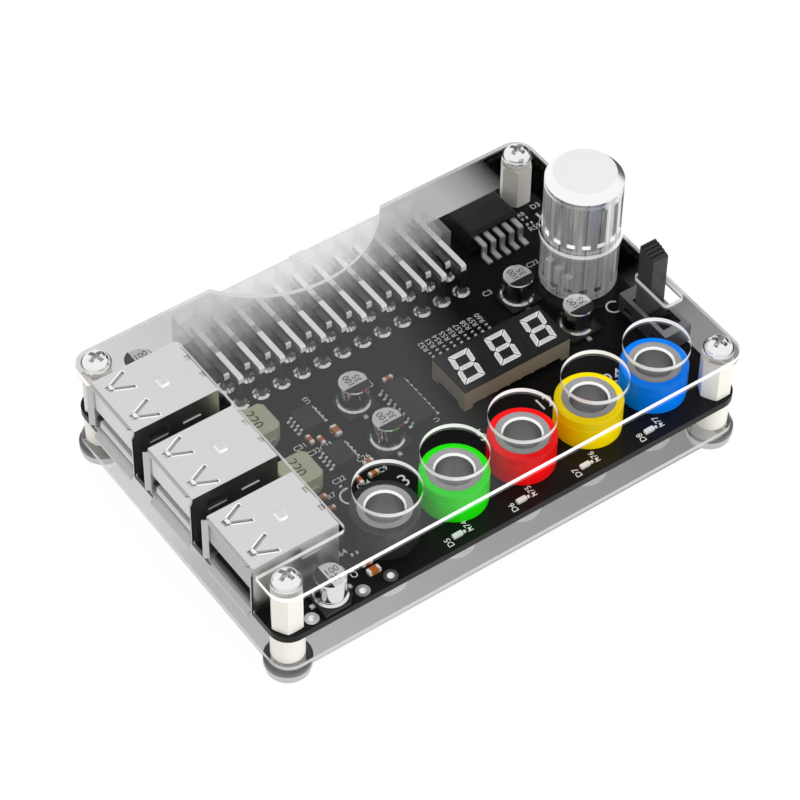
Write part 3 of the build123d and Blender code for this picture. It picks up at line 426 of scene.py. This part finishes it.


# Every glow given below is a painted glow: these parts give light though they are no lamps
materials = {
    # The cut edges' painted highlight is near white on the top sheet and grey on the bottom one
    "clearTop": clearMaterial("clearTopSheet", "top_plate", 0.95),
    "clearBottom": clearMaterial("clearBottomSheet", "bottom_plate", 0.50),
    "milky": milkyMaterial("milkyMoulding"),
    "knob": knobMaterial("turnedAluminium"),
    "screw": screwMaterial("screwMetal"),
    "paintedShadeTongue": tongueMaterial("paintedShadeTongue"),
    "paleTongue": paleTongueMaterial("paleTongue"),
    # The two rows are painted lit and shaded copies of one metal: bright tops in the upper row, dark ones
    # in the lower
    "pinUpper": pinMaterial("upperPinMetalLitTops", "header_pins_upper", 0.95),
    "pinLower": pinMaterial("lowerPinMetalShadedTops", "header_pins_lower", 0.12),
    "board": plainMaterial("blackSolderMask", (0.006, 0.006, 0.006), 0.30, specular=0.15, grain=0.1),
    "ivory": plainMaterial("ivoryNylon", (0.95, 0.92, 0.84), 0.38, specular=0.4, grain=0.02, paintedGlow=0.04),
    "nickel": plainMaterial("brightNickel", (0.78, 0.78, 0.78), 0.16, metal=1.0),
    "solder": plainMaterial("solder", (0.90, 0.90, 0.90), 0.12, metal=1.0, grain=0.15, grainScale=1500.0),
    "shell": shellMaterial("satinShellPaintedShades"),
    # Painted highlight and painted shade strips beside the spring slits
    "paintedReliefLine": plainMaterial("paintedReliefLine", (0.93, 0.93, 0.93), 0.3, paintedGlow=0.1),
    "paintedReliefShade": plainMaterial("paintedReliefShade", (0.38, 0.38, 0.38), 0.3, metal=0.3),
    "insert": insertMaterial("socketMetal"),
    "tin": plainMaterial("tinnedLead", (0.80, 0.80, 0.80), 0.30, metal=0.6),
    "blackPlastic": plainMaterial("blackPlastic", (0.014, 0.014, 0.014), 0.35, specular=0.4),
    "chip": plainMaterial("chipMoulding", (0.020, 0.020, 0.021), 0.5, specular=0.3, grain=0.05),
    "whitePlastic": plainMaterial("whitePlastic", (0.80, 0.80, 0.80), 0.35),
    "red": plainMaterial("redSleeve", (0.90, 0.005, 0.006), 0.25, specular=0.2, paintedGlow=0.15),
    "green": plainMaterial("greenSleeve", (0.013, 0.74, 0.003), 0.25, specular=0.2, paintedGlow=0.15),
    "yellow": plainMaterial("yellowSleeve", (0.95, 0.72, 0.0), 0.25, specular=0.2, paintedGlow=0.15),
    "blue": plainMaterial("blueSleeve", (0.0, 0.21, 0.92), 0.25, specular=0.2, paintedGlow=0.15),
    "black": plainMaterial("blackSleeve", (0.020, 0.020, 0.020), 0.28),
    "gold": plainMaterial("goldContact", (0.80, 0.62, 0.30), 0.2, metal=1.0),
    "displayCase": plainMaterial("displayCase", (0.36, 0.325, 0.255), 0.45, grain=0.03),
    "displayFace": plainMaterial("displayFace", (0.020, 0.020, 0.021), 0.35, specular=0.3),
    "segment": plainMaterial("segmentRim", (0.95, 0.95, 0.95), 0.4, paintedGlow=0.25),
    "segmentCore": plainMaterial("segmentCore", (0.82, 0.82, 0.82), 0.4, paintedGlow=0.15),
    "can": paintedFacingMaterial("capacitorCan", (0.74, 0.74, 0.74), 1.0, (0.78, 0.78, 0.78), 0.15, 0.14),
    "ferrite": plainMaterial("oliveMoulding", (0.46, 0.475, 0.335), 0.5, grain=0.03),
    "brownCeramic": plainMaterial("brownCeramic", (0.48, 0.13, 0.014), 0.4),
    "foot": footMaterial("twoBandFoot"),
    "potMetal": plainMaterial("darkPlatedCover", (0.10, 0.10, 0.10), 0.35, metal=0.5),
    "frameMetal": paintedFacingMaterial("switchFrameMetal", (0.10, 0.10, 0.10), 0.4, (0.24, 0.24, 0.24), 0.1, 0.4),
    "printWhite": plainMaterial("whitePrint", (0.88, 0.88, 0.88), 0.6, specular=0.2),
    "printDark": plainMaterial("darkPrint", (0.022, 0.022, 0.022), 0.6, specular=0.2),
    "solderWhite": plainMaterial("brightSolder", (0.92, 0.92, 0.92), 0.3, metal=0.2),
}

nodeFinish = {
    "bottom_plate": "clearBottom", "top_plate": "clearTop", "circuit_board": "board",
    "hex_standoffs": "ivory", "lower_spacers": "ivory", "top_screws": "screw", "feet": "foot",
    "header_housing": "milky",
    "header_pins_upper": "pinUpper", "header_pins_lower": "pinLower", "header_solder": "solder",
    "port_insulator_1": "paintedShadeTongue", "port_insulator_2": "paleTongue", "port_insulator_3": "paleTongue",
    "port_contacts": "gold", "display_housing": "displayCase", "display_face": "displayFace",
    "display_segments": "segment", "display_pins": "tin", "potentiometer_body": "blackPlastic",
    "potentiometer_cover": "potMetal", "potentiometer_lugs": "tin", "potentiometer_shaft": "nickel",
    "knob": "knob",
    "switch_base": "blackPlastic", "switch_frame": "frameMetal", "switch_terminals": "tin",
    "switch_lever": "blackPlastic", "capacitor_bases": "blackPlastic", "capacitor_leads": "tin",
    "inductor_1": "ferrite", "inductor_2": "ferrite", "inductor_terminals": "tin", "regulator_body": "chip",
    "regulator_leads": "tin", "chips": "chip", "chip_leads": "solderWhite",
    "small_capacitors": "brownCeramic", "small_resistors": "chip", "indicator_lamps": "whitePlastic",
    "eyelets": "nickel",
}
for name in nodes:
    if name.startswith("port_shell"):
        nodeFinish[name] = "shell"
    if name.startswith("capacitor_can"):
        nodeFinish[name] = "can"
    if name.startswith("socket_insert"):
        nodeFinish[name] = "insert"
    if name.startswith("socket_sleeve"):
        nodeFinish[name] = name.split("_")[-1]
for name, obj in nodes.items():
    obj.data.materials.clear()
    obj.data.materials.append(materials[nodeFinish[name]])
print("finishes set on", len(nodes), "nodes")


def addPiece(name, vertices, faces, material):
    # Puts a computed surface into the scene, riding on the board
    mesh = bpy.data.meshes.new(name)
    polygons = [list(map(int, face)) for face in faces]
    mesh.from_pydata(np.asarray(vertices, dtype=float).tolist(), [], polygons)
    mesh.update()
    mesh.materials.append(materials[material])
    piece = bpy.data.objects.new(name, mesh)
    scene.collection.objects.link(piece)
    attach(piece, "board")


def loosePieces(nodeName):
    # Splits a node into its separate solids: triangles that share a corner place belong together
    mesh = nodes[nodeName].data
    points = np.empty(len(mesh.vertices) * 3)
    mesh.vertices.foreach_get("co", points)
    points = points.reshape(-1, 3)
    corners = np.empty(len(mesh.loops), dtype=np.int64)
    mesh.loops.foreach_get("vertex_index", corners)
    triangles = corners.reshape(-1, 3)
    _, same = np.unique(np.round(points / 1e-6).astype(np.int64), axis=0, return_inverse=True)
    label = np.arange(same.max() + 1)
    shared = same.reshape(-1)[triangles]
    for _ in range(200):                    # lowest label spreads until nothing changes
        lowest = label[shared].min(axis=1)
        spread = label.copy()
        np.minimum.at(spread, shared.reshape(-1), np.repeat(lowest, 3))
        if np.array_equal(spread, label):
            break
        label = spread
    owner = label[same.reshape(-1)]
    return [points[owner == key] for key in np.unique(owner)]


# White print on the board: text size is the height of the type body in mm
boardPrint = {
    "lift": 0.03 * mm,
    "large": 3.7,
}
# text, x, y, turn in degrees, size in mm
printedWords = [
    ("C31", -22.7, 0.45, 0, 1.5), ("C32", -21.4, -1.75, 0, 1.5), ("C35", -18.9, -1.8, 0, 1.5),
    ("C22", -21.5, -9.2, 0, 1.5), ("C24", -18.7, -12.3, 0, 1.5), ("C9", -13.8, -11.4, 0, 1.5),
    ("C26", -15.4, -7.5, 0, 1.5), ("R7", -24.0, -11.3, 0, 1.5), ("U2", -14.4, -0.6, 90, 1.4),
    ("U3", -14.2, 8.2, 90, 1.4), ("C8", -3.2, 5.2, 90, 1.5), ("R9", -4.3, 6.9, 90, 1.3),
    ("U4", 1.4, -7.6, 90, 1.4), ("C3", 24.5, 11.3, 0, 1.6), ("C23", 35.0, 12.6, 0, 1.5),
    ("D3", 44.4, 23.9, 0, 1.6), ("R8", 41.1, 23.6, 0, 1.4), ("R59", 40.8, 19.6, 0, 1.6),
    ("R64", -30.3, -22.3, 0, 1.6), ("C5", -22.6, -26.1, 90, 1.7), ("C6", -29.0, -27.3, 90, 1.7),
]
bigNumbers = [
    ("3", -12.3, -16.1), ("5", 4.2, -15.4), ("12", 16.4, -15.6), ("24", 29.7, -17.6), ("9", 42.0, -16.4),
]


def turnAbout(points, turn, x, y):
    # Turned by a: (x cos a - y sin a, x sin a + y cos a), then moved to (x, y)
    angle = math.radians(turn)
    return np.column_stack((
        points[:, 0] * math.cos(angle) - points[:, 1] * math.sin(angle) + x,
        points[:, 0] * math.sin(angle) + points[:, 1] * math.cos(angle) + y,
    ))


def wordMesh(text, x, y, turn, size):
    # A line of text as flat faces, turned about its start and laid on the board
    curve = bpy.data.curves.new("word", "FONT")
    curve.body = text
    curve.size = size * mm
    curve.resolution_u = 3
    holder = bpy.data.objects.new("word", curve)
    scene.collection.objects.link(holder)
    bpy.context.view_layer.update()
    mesh = bpy.data.meshes.new_from_object(holder.evaluated_get(bpy.context.evaluated_depsgraph_get()))
    points = np.empty(len(mesh.vertices) * 3)
    mesh.vertices.foreach_get("co", points)
    points = points.reshape(-1, 3)
    faces = [list(face.vertices) for face in mesh.polygons]
    bpy.data.objects.remove(holder)
    bpy.data.curves.remove(curve)
    bpy.data.meshes.remove(mesh)
    return turnAbout(points, turn, x, y), faces


def arcStrip(x, y, radius, width, start, end, steps=32):
    # Flat ring sector: r runs over the two rims and a from start to end, point = centre + r (cos a, sin a)
    a = np.radians(np.linspace(start, end, steps + 1))
    rims = np.array([radius - width / 2, radius + width / 2])
    grid = np.stack((x + np.outer(rims, np.cos(a)), y + np.outer(rims, np.sin(a))), axis=-1).reshape(-1, 2)
    i = np.arange(steps)
    faces = np.column_stack((i, i + steps + 1, i + steps + 2, i + 1))[:, ::-1]
    return grid, faces.tolist()


def joinParts(parts):
    # Joins parts, each (points, faces), into one list of points and one of faces
    points, faces, count = [], [], 0
    for place, polygons in parts:
        points.append(place)
        faces += [[index + count for index in face] for face in polygons]
        count += len(place)
    return np.vstack(points), faces


def atLevel(flat, level):
    return np.column_stack((flat, np.full(len(flat), level)))


def gather(parts, level):
    # Joins flat parts into one sheet at a level
    return joinParts([(atLevel(place, level), polygons) for place, polygons in parts])


def middles(nodeName):
    return [(part.min(axis=0) + part.max(axis=0)) / 2 for part in loosePieces(nodeName)]


words = [wordMesh(text, x * mm, y * mm, turn, size) for text, x, y, turn, size in printedWords]
words += [wordMesh(text, x * mm, y * mm, 0, boardPrint["large"]) for text, x, y in bigNumbers]
displayLow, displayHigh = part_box("display_housing")
rowDepth = 6 * mm           # the resistors in the row behind the display
row = [r for r in middles("small_resistors")
       if displayHigh.y < r[1] < displayHigh.y + rowDepth and r[0] > displayLow.x]
row.sort(key=lambda r: r[0])
for number, centre in enumerate(row):
    words.append(wordMesh(f"R{52 + number}", centre[0] + 0.55 * mm, centre[1] + 1.35 * mm, 90, 1.5))
lamps = sorted(middles("indicator_lamps"), key=lambda c: c[0])
for number, centre in enumerate(lamps):
    words.append(wordMesh(f"D{5 + number}", centre[0] - 1.4 * mm, centre[1] - 1.4 * mm, 90, 1.6))
    words.append(wordMesh(f"R{74 + number}", centre[0] + 3.1 * mm, centre[1] - 0.5 * mm, 90, 1.6))
cans = {}
for name in sorted(nodes):
    if name.startswith("capacitor_can"):
        low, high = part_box(name)
        cans[name] = ((low.x + high.x) / 2, (low.y + high.y) / 2, high.z)
words.append(arcStrip(-20.6 * mm, -12.6 * mm, 1.7 * mm, 0.35 * mm, 70, 290))
words.append(arcStrip(41.6 * mm, -3.4 * mm, 1.3 * mm, 0.34 * mm, 35, 325))
printVertices, printFaces = gather(words, boardTop + boardPrint["lift"])
addPiece("boardPrint", printVertices, printFaces, "printWhite")
print("board print laid:", len(words), "marks")


# Painted highlight and painted shade lines that run beside the slits of the ports' contact springs, in
# place of pressed relief, in mm
springLine = {
    "lipLength": 0.75,
    "lipRise": 0.5,
    "path": ((0.39, 0.52), (1.2, 0.86), (3.0, 1.70), (3.7, 1.95)),
    "fromFront": 1.85,
    "fromMiddle": 3.75,
    "pale": (0.16, 0.42),      # offsets of the painted highlight line's two rims, outward of the slit's middle
    "shade": (-0.42, -0.16),   # the same of the painted shade line on its inner side
    "lift": 0.015,
}


def besidePath(path, offsets, steps=28):
    # Cubic p(t) through the four places at t = 0, 1/3, 2/3, 1; rims run at p(t) + offset * normal(t)
    t = np.linspace(0, 1, steps + 1)
    knots = np.array([0, 1 / 3, 2 / 3, 1])
    curves = [np.polyfit(knots, [place[axis] for place in path], 3) for axis in (0, 1)]
    place = np.column_stack([np.polyval(curve, t) for curve in curves])
    slope = np.column_stack([np.polyval(np.polyder(curve), t) for curve in curves])
    slope /= np.linalg.norm(slope, axis=1)[:, None]
    normal = np.column_stack((-slope[:, 1], slope[:, 0]))
    rims = np.vstack([place + offset * normal for offset in offsets])
    i = np.arange(steps)
    return rims, np.column_stack((i, i + 1, i + steps + 2, i + steps + 1))


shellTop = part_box("port_shell_1")[1].z - springLine["lipRise"] * mm
for material, offsets in (("paintedReliefLine", springLine["pale"]), ("paintedReliefShade", springLine["shade"])):
    lines = []
    for shell in ("port_shell_1", "port_shell_2", "port_shell_3"):
        low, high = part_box(shell)
        front = low.x + springLine["lipLength"] * mm + springLine["fromFront"] * mm
        middle = (low.y + high.y) / 2
        for side in (-1, 1):
            for hand in (-1, 1):
                rims, quads = besidePath(springLine["path"], offsets)
                flat = rims * (1, hand) * mm + (front, middle + side * springLine["fromMiddle"] * mm)
                lines.append((flat, (quads[:, ::-1] if hand < 0 else quads)[:, ::-1].tolist()))
    lineVertices, lineFaces = gather(lines, shellTop + springLine["lift"] * mm)
    addPiece(material + "s", lineVertices, lineFaces, material)
print("spring lines laid")


# Capacitor tops: black segment on one side, two lines of numbers on the silver part
canMark = {
    "radius": 2.66,       # of the marked disc
    "chord": 0.85,        # distance of the straight edge from the middle
    "lift": 0.02 * mm,
    "size": 1.75,
    "numbers": (("100", -0.75, 0.1), ("35", -0.55, -1.45)),     # text, start in x and y
    "turned": {"capacitor_can_1": 90, "capacitor_can_2": 90, "capacitor_can_3": 90, "capacitor_can_4": 90,
               "capacitor_can_5": 0, "capacitor_can_6": 0},
}


def discSegment(radius, chord, steps=24):
    # Part of a disc west of x = -chord: quads between the rim, radius (cos a, sin a), and the chord
    half = math.acos(chord / radius)
    a = np.linspace(math.pi - half, math.pi + half, steps + 1)
    rim = np.column_stack((radius * np.cos(a), radius * np.sin(a)))
    straight = np.column_stack((np.full(steps + 1, -chord), rim[:, 1]))
    i = np.arange(steps)
    faces = np.column_stack((i, i + 1, i + steps + 2, i + steps + 1))
    return np.vstack((rim, straight)), faces.tolist()


marks = []
for name, (x, y, top) in cans.items():
    turn = canMark["turned"][name]
    segment, faces = discSegment(canMark["radius"] * mm, canMark["chord"] * mm)
    marks.append(gather([(turnAbout(segment, turn, x, y), faces)], top + canMark["lift"]))
    for text, startX, startY in canMark["numbers"]:
        flat, faces = wordMesh(text, startX * mm, startY * mm, 0, canMark["size"])
        marks.append(gather([(turnAbout(flat, turn, x, y), faces)], top + canMark["lift"]))
markVertices, markFaces = joinParts(marks)
addPiece("capacitorMarks", markVertices, markFaces, "printDark")

# Numbers on the inductors, read towards the sockets
inductorWords = []
for name in ("inductor_1", "inductor_2"):
    low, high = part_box(name)
    startX = (low.x + high.x) / 2 - 0.95 * mm
    startY = (low.y + high.y) / 2 + 2.35 * mm
    inductorWords.append(wordMesh("220", startX, startY, -90, 2.7))
inductorVertices, inductorFaces = gather(inductorWords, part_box("inductor_1")[1].z + canMark["lift"])
addPiece("inductorNumbers", inductorVertices, inductorFaces, "printDark")

# Inner plate of each display segment: the segment's outline drawn in towards its middle
segmentCore = {"share": 0.72, "lift": 0.01 * mm}
cores = []
for part in loosePieces("display_segments"):
    topPoints = np.unique(np.round(part[part[:, 2] > part[:, 2].max() - 1e-6][:, :2], 7), axis=0)
    middle = topPoints.mean(axis=0)
    around = np.argsort(np.arctan2(*(topPoints - middle).T[::-1]))
    outline = middle + (topPoints[around] - middle) * segmentCore["share"]
    level = part[:, 2].max() + segmentCore["lift"]
    cores.append((atLevel(outline, level), [list(range(len(outline)))]))
coreVertices, coreFaces = joinParts(cores)
addPiece("segmentCores", coreVertices, coreFaces, "segmentCore")


# Solder ends of the small parts, in mm; square is the power that flattens their sides
solderEnd = {
    "reach": (("small_capacitors", 0.45), ("small_resistors", 0.26), ("indicator_lamps", 0.30)),
    "smallPart": 1.2,          # parts shorter than this have ends no longer than smallReach
    "smallReach": 0.26,
    "stickOut": 0.18,
    "wrap": 0.03,
    "rise": 0.02,
    "square": 0.35,
}


def roundedBlock(low, high, square, around=12, up=7):
    # Superellipsoid in a box: x = a c(u) c(v), y = b c(u) s(v), z = h s(u), where c and s are the cosine
    # and sine raised to a small power with their sign kept, so the sides are nearly flat
    def keep(value):
        return np.sign(value) * np.abs(value) ** square
    u = np.linspace(-math.pi / 2, math.pi / 2, up)
    v = np.linspace(0, 2 * math.pi, around, endpoint=False) + math.pi / around
    centre = (np.asarray(low) + np.asarray(high)) / 2
    half = (np.asarray(high) - np.asarray(low)) / 2
    ring = np.stack((
        half[0] * np.outer(keep(np.cos(u[1:-1])), keep(np.cos(v))),
        half[1] * np.outer(keep(np.cos(u[1:-1])), keep(np.sin(v))),
        half[2] * np.outer(keep(np.sin(u[1:-1])), np.ones(around)),
    ), axis=-1).reshape(-1, 3)
    points = np.vstack((ring, [[0, 0, -half[2]], [0, 0, half[2]]])) + centre
    j = np.arange(around)
    after = (j + 1) % around
    sides = [np.column_stack((j, after, after + around, j + around)) + r * around for r in range(up - 3)]
    bottom, top = len(points) - 2, len(points) - 1
    lastRing = (up - 3) * around
    faces = np.vstack(sides).tolist()
    faces += np.column_stack((np.full(around, bottom), after, j)).tolist()
    faces += np.column_stack((np.full(around, top), lastRing + j, lastRing + after)).tolist()
    return points, faces


ends = []
for nodeName, reach in solderEnd["reach"]:
    for part in loosePieces(nodeName):
        low, high = part.min(axis=0), part.max(axis=0)
        axis = 0 if high[0] - low[0] > high[1] - low[1] else 1
        isSmall = (high - low)[:2].max() < solderEnd["smallPart"] * mm
        length = min(reach, solderEnd["smallReach"]) if isSmall else reach
        for side in (-1, 1):
            a, b = low.copy(), high.copy()
            a[1 - axis] -= solderEnd["wrap"] * mm
            b[1 - axis] += solderEnd["wrap"] * mm
            b[2] += solderEnd["rise"] * mm
            if side < 0:
                b[axis] = low[axis] + length * mm
                a[axis] = low[axis] - solderEnd["stickOut"] * mm
            else:
                a[axis] = high[axis] - length * mm
                b[axis] = high[axis] + solderEnd["stickOut"] * mm
            ends.append(roundedBlock(a, b, solderEnd["square"]))
endVertices, endFaces = joinParts(ends)
addPiece("solderEnds", endVertices, endFaces, "solderWhite")
print("marks and solder ends made")

# Stage: floor, sky and lamps
stage = {
    "floorSize": 6.0,
    "floorWhite": 0.93,        # share of the floor that is plain white, the rest takes the shadow
    "floorGlow": 1.03,
    "diffuseSky": 0.72,
    "glossySky": 1.0,
    "patchWay": (0.39, 0.55, 0.74),   # where the clear plates' tops look
    "patchInner": 0.985,       # cosines of the dark patch's core and rim
    "patchOuter": 0.955,
    "patchWest": 0.21,         # brightness of the patch to the west and east of the fade
    "patchEast": 0.0,
    "patchFade": (0.400, 0.419),      # in X of the direction
    "darkSide": (6, 52),       # the dark card stands in these headings, degrees from +X towards +Y
    "startRim": (-0.12, 0.05),        # its soft rims, radians from the two headings
    "endRim": (-0.05, 0.08),
    "cardFoot": (44, 8),       # headings on the floor are counted from here, mm
    "cardTop": (0.30, 0.45),   # Z of the direction where the card ends
    "cardShade": 0.01,
    "topLamp": 2.4,
    "keyLamp": 3.0,
}
# Painted shade: grey of the floor seen through a clear plate, in place of the darker surroundings a plate
# shows, in its north and south part: place along X in mm, grey
throughNorth = ((-45, 0.86), (-20, 0.71), (20, 0.70), (40, 0.60), (46, 0.40), (52, 0.0))
throughSouth = ((-48, 0.66), (-40, 0.60), (0, 0.46), (45, 0.35))
southToNorth = (-8, 12)        # where one part turns into the other along Y, mm


def flatSheet(name, corners, material):
    mesh = bpy.data.meshes.new(name)
    mesh.from_pydata([tuple(c) for c in corners], [], [(0, 1, 2, 3)])
    obj = bpy.data.objects.new(name, mesh)
    scene.collection.objects.link(obj)
    mesh.materials.append(material)


def rampInMm(tree, place, stops):
    low, high = stops[0][0], stops[-1][0]
    share = mapRange(tree, place, low * mm, high * mm, 0, 1)
    return greyRamp(tree, share, [((at - low) / (high - low), grey) for at, grey in stops])


def inDarkSide(tree, x, y):
    # 1 inside the card's headings with soft rims, 0 outside
    heading = linkMath(tree, "ARCTAN2", y, x)
    start, end = (math.radians(angle) for angle in stage["darkSide"])
    rise = mapRange(tree, heading, *(start + rim for rim in stage["startRim"]), 0, 1, smooth=True)
    fall = mapRange(tree, heading, *(end + rim for rim in stage["endRim"]), 1, 0, smooth=True)
    return linkMath(tree, "MULTIPLY", rise, fall)


def floorMaterial():
    mat = bpy.data.materials.new("paleFloor")
    mat.use_nodes = True
    tree = mat.node_tree
    tree.nodes.clear()
    out = tree.nodes.new("ShaderNodeOutputMaterial")
    lit = tree.nodes.new("ShaderNodeBsdfDiffuse")
    white = tree.nodes.new("ShaderNodeEmission")
    path = tree.nodes.new("ShaderNodeLightPath")
    seen = linkMath(tree, "ADD", path.outputs["Is Camera Ray"], path.outputs["Is Glossy Ray"], clamp=True)
    seen = linkMath(tree, "ADD", seen, path.outputs["Is Transmission Ray"], clamp=True)
    share = linkMath(tree, "MULTIPLY", seen, stage["floorWhite"])
    # Painted shade: through a clear plate the floor is set greyer, fading to black towards the north-east
    through = linkMath(tree, "GREATER_THAN", path.outputs["Transparent Depth"], 0.5)
    through = linkMath(tree, "MULTIPLY", through, path.outputs["Is Camera Ray"])
    x, y, z = placeOf(tree)
    isNorth = mapRange(tree, y, southToNorth[0] * mm, southToNorth[1] * mm, 0, 1, smooth=True)
    grey = mixColors(tree, isNorth, rampInMm(tree, x, throughSouth), rampInMm(tree, x, throughNorth))
    color = mixColors(tree, through, (1.0, 1.0, 1.0), grey)
    tree.links.new(mixColors(tree, through, (0.85, 0.85, 0.85), grey), lit.inputs["Color"])
    # Metal sees a dark card standing to the north-east
    fromCard = [linkMath(tree, "SUBTRACT", at, start * mm) for at, start in zip((x, y), stage["cardFoot"])]
    dark = linkMath(tree, "MULTIPLY", inDarkSide(tree, *fromCard), path.outputs["Is Glossy Ray"])
    tree.links.new(mixColors(tree, dark, color, (stage["cardShade"],) * 3), white.inputs["Color"])
    white.inputs["Strength"].default_value = stage["floorGlow"]
    mix = tree.nodes.new("ShaderNodeMixShader")
    tree.links.new(share, mix.inputs["Fac"])
    tree.links.new(lit.outputs["BSDF"], mix.inputs[1])
    tree.links.new(white.outputs["Emission"], mix.inputs[2])
    tree.links.new(mix.outputs["Shader"], out.inputs["Surface"])
    return mat


half = stage["floorSize"] / 2
floorCorners = [(-half, -half, 0), (half, -half, 0), (half, half, 0), (-half, half, 0)]
flatSheet("floor", floorCorners, floorMaterial())

world = bpy.data.worlds.new("studio")
scene.world = world
world.use_nodes = True
tree = world.node_tree
tree.nodes.clear()
out = tree.nodes.new("ShaderNodeOutputWorld")
path = tree.nodes.new("ShaderNodeLightPath")
way = tree.nodes.new("ShaderNodeTexCoord")
toPatch = tree.nodes.new("ShaderNodeVectorMath")
toPatch.operation = "DOT_PRODUCT"
tree.links.new(way.outputs["Generated"], toPatch.inputs[0])
length = math.sqrt(sum(c * c for c in stage["patchWay"]))
toPatch.inputs[1].default_value = [c / length for c in stage["patchWay"]]
toward = toPatch.outputs["Value"]
inPatch = mapRange(tree, toward, stage["patchOuter"], stage["patchInner"], 0, 1, smooth=True)
heading = tree.nodes.new("ShaderNodeSeparateXYZ")
tree.links.new(way.outputs["Generated"], heading.inputs["Vector"])
glows = stage["patchWest"], stage["patchEast"]
patchGlow = mapRange(tree, heading.outputs["X"], *stage["patchFade"], *glows)
isLow = mapRange(tree, heading.outputs["Z"], *stage["cardTop"], 1, 0, smooth=True)
inCard = linkMath(tree, "MULTIPLY", inDarkSide(tree, heading.outputs["X"], heading.outputs["Y"]), isLow)
glossy = mixNumbers(tree, inPatch, stage["glossySky"], patchGlow)
glossy = mixNumbers(tree, inCard, glossy, stage["cardShade"])
skyGlossy = tree.nodes.new("ShaderNodeBackground")
tree.links.new(glossy, skyGlossy.inputs["Strength"])
skyDiffuse = tree.nodes.new("ShaderNodeBackground")
skyDiffuse.inputs["Strength"].default_value = stage["diffuseSky"]
backdrop = tree.nodes.new("ShaderNodeBackground")
backdrop.inputs["Strength"].default_value = 1.0
for shader in (skyGlossy, skyDiffuse, backdrop):
    shader.inputs["Color"].default_value = (1, 1, 1, 1)
mixGlossy = tree.nodes.new("ShaderNodeMixShader")
tree.links.new(path.outputs["Is Glossy Ray"], mixGlossy.inputs["Fac"])
tree.links.new(skyDiffuse.outputs["Background"], mixGlossy.inputs[1])
tree.links.new(skyGlossy.outputs["Background"], mixGlossy.inputs[2])
mixCamera = tree.nodes.new("ShaderNodeMixShader")
tree.links.new(path.outputs["Is Camera Ray"], mixCamera.inputs["Fac"])
tree.links.new(mixGlossy.outputs["Shader"], mixCamera.inputs[1])
tree.links.new(backdrop.outputs["Background"], mixCamera.inputs[2])
tree.links.new(mixCamera.outputs["Shader"], out.inputs["Surface"])


def areaLamp(name, place, aim, size, power):
    light = bpy.data.lights.new(name, "AREA")
    light.energy = power
    light.size = size
    lamp = bpy.data.objects.new(name, light)
    scene.collection.objects.link(lamp)
    away = np.array(place) - np.array(aim)
    away /= np.linalg.norm(away)
    side = np.cross((0, 0, 1) if abs(away[2]) < 0.99 else (0, 1, 0), away)
    side /= np.linalg.norm(side)
    up = np.cross(away, side)
    lamp.matrix_world = Matrix([[side[i], up[i], away[i], place[i]] for i in range(3)] + [[0, 0, 0, 1]])
    lamp.visible_glossy = False


areaLamp("topLamp", (-0.1, 0.1, 1.0), (0, 0, 0), 0.9, stage["topLamp"])
areaLamp("keyLamp", (0.35, -0.9, 0.55), (0, 0, 0.01), 0.5, stage["keyLamp"])

# Camera: the place and lens that the photograph was taken with
view = {
    "place": (-0.21622, -0.29537, 0.41807),
    "right": (0.81607, -0.57787, 0.0095),
    "down": (-0.42123, -0.60596, -0.67481),
    "forward": (0.39571, 0.54669, -0.73793),
    "lens": 145.16,
    "shiftX": 0.00425,
    "shiftY": -0.0372,
}
camera = bpy.data.cameras.new("camera")
camera.sensor_width = 36.0
camera.lens = view["lens"]
camera.shift_x = view["shiftX"]
camera.shift_y = view["shiftY"]
camera.clip_start = 0.01
camera.clip_end = 20.0
cameraObject = bpy.data.objects.new("camera", camera)
scene.collection.objects.link(cameraObject)
rows = [[view["right"][i], -view["down"][i], -view["forward"][i], view["place"][i]] for i in range(3)]
cameraObject.matrix_world = Matrix(rows + [[0, 0, 0, 1]])
scene.camera = cameraObject
print("stage and camera set")

scene.view_settings.view_transform = "Standard"
